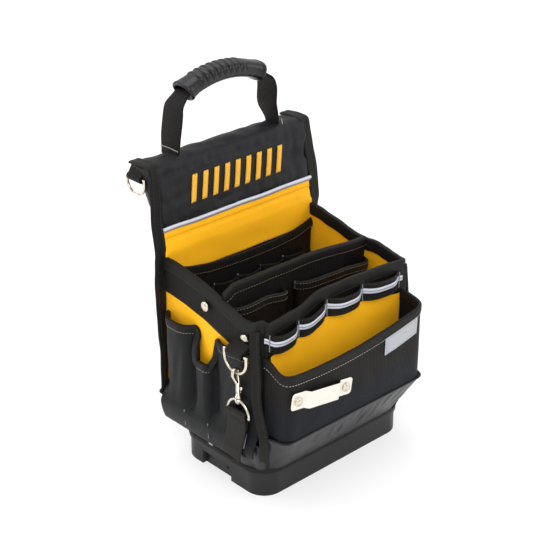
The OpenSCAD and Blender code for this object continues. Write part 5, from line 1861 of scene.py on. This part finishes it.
@dataclass
class BackPocket:
    """The pocket on the back's inner face, its ribbed binding and the row of webbing loops before it."""

    half: float = 115.6
    low: float = 92.0
    edge_low: float = 230.0
    edge_rise: float = 13.0
    edge_fall: float = 3.0
    binding: float = 13.0
    loops: int = 5
    left_end: float = -92.0
    right_end: float = 98.0
    loop_height: float = 25.0
    body: str = "bag"

    def edge(self, x: Array) -> Array:
        """Height of the pocket's edge: a cubed rise to both ends and a slight fall to the right."""
        share = x / self.half
        return self.edge_low + self.edge_rise * np.abs(share) ** 3 - self.edge_fall * share

    def depth(self, x: Array, z: Array) -> Array:
        """Depth of the cloth: it bulges forward in the middle of its height and ripples a little."""
        bulge = 3.4 * hump(x / (2 * self.half) + 0.5, 4.0) * hump((z - self.low) / 170.0)
        return PLAN.back - 5.6 - bulge - 0.9 * ripple(x / 60.0, z / 60.0, 81)

    def build(self) -> None:
        """Builds the pocket's cloth, binding, stitches and loops."""
        x = np.linspace(-self.half, self.half, 90)
        share = np.linspace(0.0, 1.0, 26)[None]
        z = self.low + (self.edge(x)[:, None] - 3.0 - self.low) * share
        xx = np.broadcast_to(x[:, None], z.shape)
        grid = np.stack([xx, self.depth(xx, z), z], axis=-1)
        cloth = thicken(skin(grid, BEHIND).build("back_pocket_cloth", self.body, POCKET_CLOTH), 1.6)
        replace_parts(cloth, "back_pocket")
        self._binding(x)
        self._loops()

    def _binding(self, x: Array) -> None:
        """The folded binding along the edge with a row of pale stitches below it."""
        middle = self.edge(x) - self.binding / 2
        path = np.column_stack([x, self.depth(x, middle) - 0.6, middle])
        band = tube(path, strip(self.binding, 3.0), FORWARD).build("back_pocket_edge", self.body, BINDING)
        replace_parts(band, "back_pocket_binding")
        rows = Surface()
        seam = path + np.array([0.0, -1.6, 2.0 - self.binding / 2])
        stitches(rows, seam, FORWARD, 4.2, 3.0, 0.4)
        rows.build("back_pocket_stitches", self.body, THREAD_TAN)

    def _loops(self) -> None:
        """The webbing loops: a strip that waves out between tacks, each tack pale at its top."""
        x = np.linspace(self.left_end, self.right_end, 150)
        turn = (x - self.left_end) / (self.right_end - self.left_end) * self.loops
        face = self.depth(x, np.full_like(x, 190.0)) - 1.8
        wave = 9.5 * np.abs(np.sin(math.pi * turn)) ** 0.6
        path = np.column_stack([x, face - wave, 192.0 + 1.5 * ripple(x / 50.0, 0 * x, 83)])
        strap = tube(path, strip(self.loop_height, 2.0), FORWARD, up=UPWARD)
        loops = strap.build("back_webbing_loops", self.body, WEBBING)
        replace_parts(loops, "back_tool_loops")
        tacks = Surface()
        for at in np.linspace(self.left_end, self.right_end, self.loops + 1)[1:-1]:
            place = np.array([at, np.interp(at, x, face) - 1.8, 0.0])
            bar_tack(tacks, place + [0, 0, 196.0], place + [0, 0, 205.0], FORWARD)
        tacks.build("back_loop_tacks", self.body, THREAD_GREY)


@dataclass
class DividerPocket:
    """A bulging pocket on the divider's front with a bound edge.

    Attributes:
        side: Which pocket it is.
        left: Its left end.
        right: Its right end.
        start: Height of its edge at the left end.
        crown: How much the edge rises in the middle.
        fall: How much the edge falls from left to right.
    """

    side: Side
    left: float
    right: float
    start: float
    crown: float
    fall: float
    bulge: float = 21.0
    low: float = 112.0
    face: float = -6.6
    body: str = "bag"

    def _line(self, share: Array, z: Array) -> Array:
        """Points of the pocket: it leaves the divider at both ends and bulges forward between them."""
        x = self.left + (self.right - self.left) * share
        open_out = ease((z - self.low) / 60.0) * 0.75 + 0.25
        forward = self.bulge * np.sqrt(hump(share, 3.0)) * open_out
        crease = 1.2 * ripple(x / 35.0, z / 50.0, 85 + self.side.value)
        return np.stack([x, self.face - forward + crease * ease(hump(share)), z], axis=-1)

    def build(self) -> None:
        """Builds cloth, binding and stitches."""
        name = self.side.name.lower()
        share = np.linspace(0.0, 1.0, 60)
        edge = self.start + self.crown * np.sin(math.pi * share) - self.fall * share
        rows = np.linspace(0.0, 1.0, 16)[None]
        z = self.low + (edge[:, None] - 3.0 - self.low) * rows
        grid = self._line(np.broadcast_to(share[:, None], z.shape), z)
        cloth = skin(grid, BEHIND).build(f"divider_{name}_cloth", self.body, POCKET_CLOTH)
        thicken(cloth, 1.6)
        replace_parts(cloth, f"divider_pocket_{name}")
        path = self._line(share, edge - 5.5)
        along = tangents(path)
        out = unit(np.cross(along, UPWARD))
        tube(path, strip(12.0, 3.6), out, up=UPWARD).build(f"divider_{name}_edge", self.body, BINDING)
        seams = Surface()
        for drop in (3.6, -3.4):
            stitches(seams, path + out * 1.9 - [0, 0, drop], out, 3.8, 2.8, 0.36)
        if self.side is Side.RIGHT:
            tack = path[0] + np.array([-0.5, -2.6, 0.0])
            bar_tack(seams, tack - [0, 0, 4.0], tack + [0, 0, 5.5], np.array([-0.5, -1.0, 0.0]))
        seams.build(f"divider_{name}_stitches", self.body, THREAD_TAN)


@dataclass
class Divider:
    """The padded divider across the middle with its ribbed binding and two front pockets."""

    half: float = 114.2
    middle: float = -4.0
    low: float = 8.0
    left_edge: float = 253.6
    fall: float = 8.0
    binding: float = 13.0
    thickness: float = 5.0
    body: str = "bag"

    def edge(self, x: Array) -> Array:
        """Height of the divider's top edge: level on the left, falling toward the right."""
        return self.left_edge - self.fall * ease((x - 5.0) / 110.0) - 7.0 * ease((-98.0 - x) / 17.0)

    def sway(self, x: Array, z: Array) -> Array:
        """Depth of the divider's middle, waving slightly."""
        return self.middle + 1.1 * ripple(x / 90.0, z / 120.0, 91) * ease((z - 60.0) / 60.0)

    def build(self) -> None:
        """Builds the board, its binding, stitches and pockets."""
        x = np.linspace(-self.half, self.half, 80)
        rows = np.linspace(0.0, 1.0, 26)[None]
        z = self.low + (self.edge(x)[:, None] - 5.0 - self.low) * rows
        xx = np.broadcast_to(x[:, None], z.shape)
        grid = np.stack([xx, self.sway(xx, z), z], axis=-1)
        sheet = skin(grid, (0.0, 60.0, 120.0)).build("divider_cloth", self.body, POCKET_CLOTH)
        thicken(sheet, self.thickness, 0.0)
        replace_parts(sheet, "divider")
        self._binding(x)
        DividerPocket(Side.LEFT, left=-111.0, right=-27.5, start=229.0, crown=9.0, fall=4.5).build()
        DividerPocket(Side.RIGHT, left=-8.0, right=111.0, start=227.0, crown=7.0, fall=8.0).build()

    def _binding(self, x: Array) -> None:
        """Both faces of the binding meet in a rounded fold; pale stitches run along its lower edge."""
        middle = self.edge(x) - self.binding / 2
        path = np.column_stack([x, self.sway(x, middle), middle])
        profile = stadium(self.thickness + 2.6, self.binding, 28, 3.2)
        band = tube(path, profile, FORWARD, up=UPWARD)
        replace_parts(band.build("divider_edge", self.body, BINDING), "divider_binding")
        seam = path + np.array([0.0, -self.thickness / 2 - 1.5, 2.2 - self.binding / 2])
        rows = stitches(Surface(), seam, FORWARD, 4.2, 3.0, 0.4)
        rows.build("divider_stitches", self.body, THREAD_TAN)


# ---------------------------------------------------------------- carry handle and shoulder rings


@dataclass
class CarryHandle:
    """The rubber grip on its webbing strap, sewn down at both ends.

    Attributes:
        centre: Middle of the handle across the tote.
        depth: Its place from front to back.
        arch: Radius of the grip's centre line.
        arch_z: Height of that arc's centre.
        reach: Half of the grip's angle, in degrees.
        ribs: How many ribs the grip has.
        rib_angle: Angle from one rib to the next, in degrees.
        rib_middle: Angle of the ribs' middle, in degrees.
    """

    centre: float = 2.0
    depth: float = 131.2
    arch: float = 135.0
    arch_z: float = 315.0
    reach: float = 25.8
    ribs: int = 8
    rib_angle: float = 3.7
    rib_middle: float = -2.6
    width: float = 32.0
    thickness: float = 2.4
    root_z: float = 364.0
    gather_top: float = 388.0
    grip_z: float = 428.0
    blend_heights: tuple[float, float] = (368.0, 398.0)
    section: tuple[float, float] = (30.0, 21.0)
    mean_radius: float = 13.0
    rib_height: float = 4.2
    groove: float = 3.0
    lip: float = 1.5
    cuff: float = 0.6
    body: str = "handle"

    def build(self) -> None:
        """Builds the straps, the grip and the stitching at the roots."""
        self._straps()
        self._grip()
        self._root_stitches()

    def arc(self, angle: Array) -> Array:
        """Points of the grip's centre line at angles from upright, in degrees."""
        a = np.radians(angle)
        x = self.centre + self.arch * np.sin(a)
        return np.stack([x, np.full_like(x, self.depth), self.arch_z + self.arch * np.cos(a)], axis=-1)

    def _leg(self, side: Side) -> Array:
        """Centre line of one leg, from its root up into the grip.

        The left leg is straight up to a kink below the grip. The right one leans in, bent out at its root.
        """
        ends = self.arc(np.array([self.reach, self.reach - 8.0]) * side.value)[:, [0, 2]]
        if side is Side.LEFT:
            rise = [(-77.5, 363.5), (-76.5, 388.0), (-71.0, 423.5)]
        else:
            rise = [(82.0, 363.5), (80.0, 376.0), (75.0, 394.0), (76.0, 414.0), (73.5, 428.0)]
        flat = rounded([*rise, *ends], 4.5, 1.6)
        return at_depth(flat, self.depth)

    def _straps(self) -> None:
        """Both legs; each turns a little about its own line, and the right one is gathered at its root."""
        made = Surface()
        for side in Side:
            path = self._leg(side)
            z = path[:, 2]
            out = unit(np.cross(tangents(path), REARWARD))
            above = z - self.root_z
            turn = 0.12 * np.sin(above / 24.0) * ease(above / 12.0) * ease((self.grip_z - z) / 14.0)
            up = REARWARD * np.cos(turn)[:, None] + out * np.sin(turn)[:, None]
            out = out * np.cos(turn)[:, None] - REARWARD * np.sin(turn)[:, None]
            gather = ease((self.gather_top - z) / 20.0) * (side is Side.RIGHT)
            share = 1 - 0.25 * gather - 0.2 * ease((z - 422.0) / 14.0)
            stretch = np.stack([np.ones_like(z), share], axis=1)
            profile = strip(self.width, self.thickness)[None] * stretch[:, None]
            path = path - REARWARD * (4.0 * gather)[:, None]
            grid = sweep(path, profile, out, up=up)
            cup = 1.3 * (grid[..., 1] - path[:, None, 1]) ** 2 / (self.width / 2) ** 2
            grid[..., 0] += cup * np.sin((z - 366.0) / 30.0)[:, None]
            made.join(tube_skin(grid))
        piece = made.build("handle_straps", None, WEBBING)
        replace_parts(piece, "handle_webbing", "handle_roots")
        low, high = ((self.centre * MM, self.depth * MM, z * MM) for z in self.blend_heights)
        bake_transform(piece)
        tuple(low)
        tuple(high)

    def _grip(self) -> None:
        """The grip: an oval loft along the arc.

        Its section is a superellipse. On the outer half each rib swells by a flattened sine of the angle,
        with a groove between ribs; both ends carry a rolled lip, and the section is fuller at the cuffs.
        """
        angle = np.linspace(-self.reach, self.reach, 260)
        path = self.arc(angle)
        outward_dir = unit(path - [self.centre, self.depth, self.arch_z])
        rib = (angle - self.rib_middle) / self.rib_angle
        inside = ease((self.ribs / 2 - np.abs(rib)) * 4.0 + 0.5)
        wave = np.abs(np.sin(math.pi * (rib + self.ribs / 2))) ** 0.45
        edge = (self.reach - np.abs(angle)) / 1.4
        lip = self.lip * np.exp(-((edge - 0.9) ** 2))
        close = np.sqrt(np.clip(1 - np.clip(1 - edge / 0.5, 0, 1) ** 2, 0.0, 1.0)) * 0.08 + 0.92
        section = stadium(*self.section, 72, 2.5)
        top = ease(section[:, 1] / 10.0 + 0.25)
        swell = (wave * self.rib_height - self.groove)[:, None] * inside[:, None] * top[None]
        cuff = self.cuff * ease((np.abs(angle) - 19.0) / 3.0)
        grow = 1.0 + (swell + lip[:, None] + cuff[:, None]) / self.mean_radius
        profile = section[None, :, ::-1] * (grow * close[:, None])[..., None]
        grid = sweep(path, profile, outward_dir, up=REARWARD)
        grip = Surface().grid(grid, wrap_columns=True, flip=not tube_outward(grid))
        self._grip_ends(grip, grid, path)
        piece = weld(grip.build("handle_rubber_grip", self.body, RUBBER))
        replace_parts(piece, "handle_grip")

    def _grip_ends(self, grip: Surface, grid: Array, path: Array) -> None:
        """Turns each end of the grip inward to a slot round the strap."""
        for place, inner in ((0, 14), (-1, -15)):
            ring = grid[place]
            middle = ring.mean(0)
            slot = middle + (ring - middle) * 0.8
            offset = path[inner] - path[place]
            share = np.array([0.0, 0.35, 1.0])[:, None, None]
            funnel = ring + (slot - ring) * share + offset * np.array([0.0, 0.0, 1.0])[:, None, None]
            hole = middle + offset + (ring - middle) * [0.7, 0.92, 0.3]
            funnel = np.concatenate([funnel, hole[None]])
            grip.grid(funnel, wrap_columns=True, flip=(place == 0) == tube_outward(grid))

    def _root_stitches(self) -> None:
        """Pale stitches over the straps' roots on the head's front edge."""
        rows = Surface()
        up = np.array([0.0, -0.5, 1.0])
        left = np.array([[-80.0, 146.0, 373.4], [-79.5, 130.0, 373.8], [-79.5, 114.0, 373.0]])
        stitches(rows, left, up, 2.6, 2.5, 0.55)
        bar_tack(rows, np.array([82.0, 111.0, 374.5]), np.array([82.5, 109.8, 369.0]), up, 1.4)
        rows.build("handle_root_stitches", "bag", THREAD_LIGHT)


@dataclass
class ShoulderRings:
    """Two D rings on webbing tabs at the shoulders of the back."""

    middle: float = 125.9
    depth: float = 136.2
    height: float = 348.0
    width: float = 25.0
    body: str = "bag"

    def build(self) -> None:
        """Builds the folded tabs and finishes the rings."""
        made, rows = Surface(), Surface()
        for side in Side:
            radius = 3.6
            turn = np.linspace(-0.75 * math.pi, 0.95 * math.pi, 26)
            x = self.middle + radius * np.sin(turn)
            z = self.height - radius * np.cos(turn)
            loop = np.column_stack([x, z])
            inner = [[118.4, self.height + 12.0], [120.2, self.height + 5.0]]
            outer = [[122.6, self.height + 9.5], [118.8, self.height + 17.0]]
            flat = rounded(np.concatenate([inner, loop, outer]), 3.0, 1.2)
            path = at_depth(flat * [side.value, 1.0], self.depth)
            out = unit(np.cross(tangents(path), REARWARD))
            made.join(tube(path, strip(self.width, 1.9), out, up=REARWARD))
            seam = path[-5] + np.array([side.value * 1.0, 0.0, 0.6])
            line = seam + REARWARD * np.linspace(-11.0, 11.0, 12)[:, None]
            stitches(rows, line, np.array([side.value * 1.0, 0.0, 0.6]), 3.0, 2.4, 0.35)
            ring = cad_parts[f"dring_{side.name.lower()}"]
            NICKEL.dress(ring)
            smooth_part(ring, 0.0)
        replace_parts(made.build("shoulder_tabs", self.body, WEBBING), "dring_tabs")
        rows.build("shoulder_tab_stitches", self.body, THREAD_DARK)


@dataclass
class SnapSet:
    """The hanging set on the left: tab and ring, trigger snap hook, and the strap that it is clipped to.

    Attributes:
        depth: Place of the set from front to back.
        ring_x: How far out the ring hangs.
        ring_z: Height of the ring's bar.
        eye_x: How far out the hook's eye hangs.
        eye_z: Height of the eye's bar.
        root_z: Height of the seam that holds the strap.
    """

    depth: float = -48.0
    ring_x: float = -137.74
    ring_z: float = 196.0
    eye_x: float = -133.74
    eye_z: float = 116.4
    root_x: float = -130.74
    root_z: float = 78.0
    tab_width: float = 27.0
    strap_width: float = 31.0
    blend_heights: tuple[float, float] = (70.0, 90.0)
    body: str = "bag"

    def build(self) -> None:
        """Builds the webbing pieces and finishes the metal ones."""
        self._tab()
        self._strap()
        for name in ("snap_ring", "snap_eye", "snap_hook", "snap_bolt"):
            NICKEL.dress(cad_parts[name])
            smooth_part(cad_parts[name], 0.0)
        SPRING_STEEL.dress(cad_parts["bolt_spring"])

    def _tab(self) -> None:
        """The tab: two layers of webbing from under the rivet, folded round the ring's bar."""
        radius = 3.7
        turn = np.linspace(-0.9 * math.pi, 0.75 * math.pi, 24)
        loop = np.column_stack([self.ring_x - radius * np.sin(turn), self.ring_z - radius * np.cos(turn)])
        inner = [[-125.2, 200.0], [-127.5, 200.2], [-132.5, 199.6]]
        outer = [[-135.0, 202.4], [-129.5, 203.4], [-126.2, 204.6]]
        flat = rounded(np.concatenate([inner, loop, outer]), 2.5, 1.2)
        path = at_depth(flat, self.depth)
        out = unit(np.cross(tangents(path), REARWARD))
        tab = tube(path, strip(self.tab_width, 2.0), out, up=REARWARD)
        piece = tab.build("snap_webbing_tab", self.body, WEBBING)
        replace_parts(piece, "snap_tab")

    def _strap(self) -> None:
        """The strap: two layers from the side seam up, joined round the eye's bar.

        Both drift to the rear on their way down, the inner one more; below the seam they lie on the skirt.
        """
        radius = 3.2
        turn = np.linspace(-0.25 * math.pi, 1.25 * math.pi, 26)
        loop = np.column_stack([self.eye_x + radius * np.cos(turn), self.eye_z + radius * np.sin(turn)])
        inner = [[-130.2, 51.0], [-132.0, 62.0], [self.root_x + 0.6, self.root_z], [self.eye_x + 1.6, 104.0]]
        outer = [[self.eye_x - 1.0, 106.0], [self.root_x - 3.0, self.root_z], [-134.4, 62.0], [-132.8, 50.0]]
        line = rounded([*inner, *loop[::5], *outer], 4.0, 1.6)
        half = len(line) // 2
        path = at_depth(line, self.depth + 2.0)
        drift = ease((self.eye_z - 4.0 - path[:, 2]) / 90.0)
        path[:, 1] += np.where(np.arange(len(line)) < half, 26.0, 17.0) * drift
        across = unit(np.array([0.0, 1.0, 0.25]) * drift[:, None] + REARWARD * (1 - drift[:, None]))
        out = unit(np.cross(tangents(path), across))
        grid = sweep(path, strip(self.strap_width, 1.9), out, up=across)
        piece = tube_skin(grid).build("snap_webbing_strap", None, STRAPPING)
        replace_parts(piece, "snap_strap", "snap_strap_root")
        low_point, high_point = ((self.root_x * MM, self.depth * MM, z * MM) for z in self.blend_heights)
        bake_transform(piece)
        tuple(low_point)
        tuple(high_point)
        rows = Surface()
        face = np.array([-1.0, 0.0, 0.0])
        for drop in (9.0, 12.0):
            line = np.array([self.eye_x - 2.8, self.depth + 2.5, self.eye_z - drop])
            stitches(rows, line + REARWARD * np.linspace(-13, 13, 14)[:, None], face, 2.8, 2.3, 0.36)
        rows.build("snap_strap_stitches", "snap_strap", THREAD_DARK)


# ---------------------------------------------------------------- studio


@dataclass
class Studio:
    """Camera, soft lights and a plain floor on white."""

    azimuth: float = -43.0
    elevation: float = 26.6
    distance: float = 1.6609
    aim: tuple[float, float, float] = (-0.0173, 0.0161, 0.2289)
    lens: float = 91.64
    sensor: float = 36.0
    surround_light: float = 0.88
    floor_half: float = 6.0
    floor_tone: tuple[float, float, float, float] = (0.95, 0.95, 0.95, 1.0)
    floor_fade: float = 0.55

    def build(self) -> None:
        """Sets up everything that isn't part of the tote."""
        self._camera()
        self._world()
        self._floor()
        self._light("key", (-1.4, -1.5, 2.1), size=1.5, power=28.0)
        self._light("fill", (1.9, -1.3, 1.3), size=1.6, power=14.0)
        self._light("top", (0.2, 0.6, 2.4), size=1.8, power=22.0)
        self._light("rim", (-1.2, 1.7, 1.2), size=1.2, power=12.0)
        bpy.context.scene.view_settings.view_transform = "Standard"

    def _camera(self) -> None:
        """The camera, on a sphere round its aim."""
        turn, rise = math.radians(self.azimuth), math.radians(self.elevation)
        back = Vector((math.sin(turn) * math.cos(rise), -math.cos(turn) * math.cos(rise), math.sin(rise)))
        data = bpy.data.cameras.new("camera")
        data.lens = self.lens
        data.sensor_width = self.sensor
        camera = bpy.data.objects.new("camera", data)
        camera.location = Vector(self.aim) + back * self.distance
        camera.rotation_euler = (-back).to_track_quat("-Z", "Y").to_euler()
        bpy.context.scene.collection.objects.link(camera)
        bpy.context.scene.camera = camera

    def _world(self) -> None:
        """A white surround: plain to the camera, softer for the light that it gives."""
        world = bpy.data.worlds.new("surround")
        world.use_nodes = True
        nodes, links = world.node_tree.nodes, world.node_tree.links
        path = nodes.new("ShaderNodeLightPath")
        strength = nodes.new("ShaderNodeMapRange")
        strength.inputs["To Min"].default_value = self.surround_light
        strength.inputs["To Max"].default_value = 1.0
        links.new(path.outputs["Is Camera Ray"], strength.inputs["Value"])
        links.new(strength.outputs[0], nodes["Background"].inputs["Strength"])
        nodes["Background"].inputs["Color"].default_value = (1.0, 1.0, 1.0, 1.0)
        bpy.context.scene.world = world

    def _floor(self) -> None:
        """A pale floor under the tote that fades into the surround."""
        mesh = bpy.data.meshes.new("floor")
        half = self.floor_half
        corners = [(-half, -half, 0), (half, -half, 0), (half, half, 0), (-half, half, 0)]
        mesh.from_pydata(corners, [], [(0, 1, 2, 3)])
        floor = bpy.data.objects.new("floor", mesh)
        material = bpy.data.materials.new("floor")
        material.use_nodes = True
        nodes, links = material.node_tree.nodes, material.node_tree.links
        shader = nodes["Principled BSDF"]
        shader.inputs["Base Color"].default_value = self.floor_tone
        shader.inputs["Roughness"].default_value = 0.9
        glow = nodes.new("ShaderNodeEmission")
        path = nodes.new("ShaderNodeLightPath")
        mix = nodes.new("ShaderNodeMixShader")
        share = nodes.new("ShaderNodeMath")
        share.operation = "MULTIPLY"
        share.inputs[1].default_value = self.floor_fade
        links.new(path.outputs["Is Camera Ray"], share.inputs[0])
        links.new(share.outputs[0], mix.inputs[0])
        links.new(shader.outputs[0], mix.inputs[1])
        links.new(glow.outputs[0], mix.inputs[2])
        links.new(mix.outputs[0], nodes["Material Output"].inputs[0])
        mesh.materials.append(material)
        bpy.context.scene.collection.objects.link(floor)
        floor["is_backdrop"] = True

    def _light(self, name: str, place: Sequence[float], size: float, power: float) -> None:
        """A square area light aimed at the tote."""
        data = bpy.data.lights.new(name, "AREA")
        data.size = size
        data.energy = power
        light = bpy.data.objects.new(name, data)
        light.location = Vector(place)
        light.rotation_euler = (Vector(self.aim) - Vector(place)).to_track_quat("-Z", "Y").to_euler()
        bpy.context.scene.collection.objects.link(light)


def write_size(name: str, sizes: dict) -> None:
    low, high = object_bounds()
    sizes[name] = [list(low), list(high)]


def pocket_nodes(side: Side) -> tuple[str, ...]:
    """Names of a side's three pocket nodes in the frame."""
    start = f"{side.name.lower()}_pocket"
    return tuple(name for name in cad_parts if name.startswith(start) and "binding" not in name)


def main() -> None:
    """Builds the tote piece by piece, then the studio round it."""
    logging.basicConfig(level=logging.INFO, format="%(name)s %(message)s")
    sizes: dict = {}
    write_size("frame", sizes)
    line = WallLine()
    pocket = FrontPocket()
    parts = [
        BaseTray(),
        HemSkirt(),
        BodyShell(line),
        RimBand(line),
        CornerBindings(),
        pocket,
        TapeClip(pocket),
        LabelPatch(pocket),
        FrontLoops(),
        SidePockets(Side.LEFT, pocket_nodes(Side.LEFT)),
        SidePockets(Side.RIGHT, pocket_nodes(Side.RIGHT)),
        SideRivets(),
        TallBack(),
        BackPocket(),
        Divider(),
        CarryHandle(),
        ShoulderRings(),
        SnapSet(),
    ]
    for part in parts:
        part.build()
    Studio().build()
    write_size("looks", sizes)


if __name__ == "__main__":
    main()
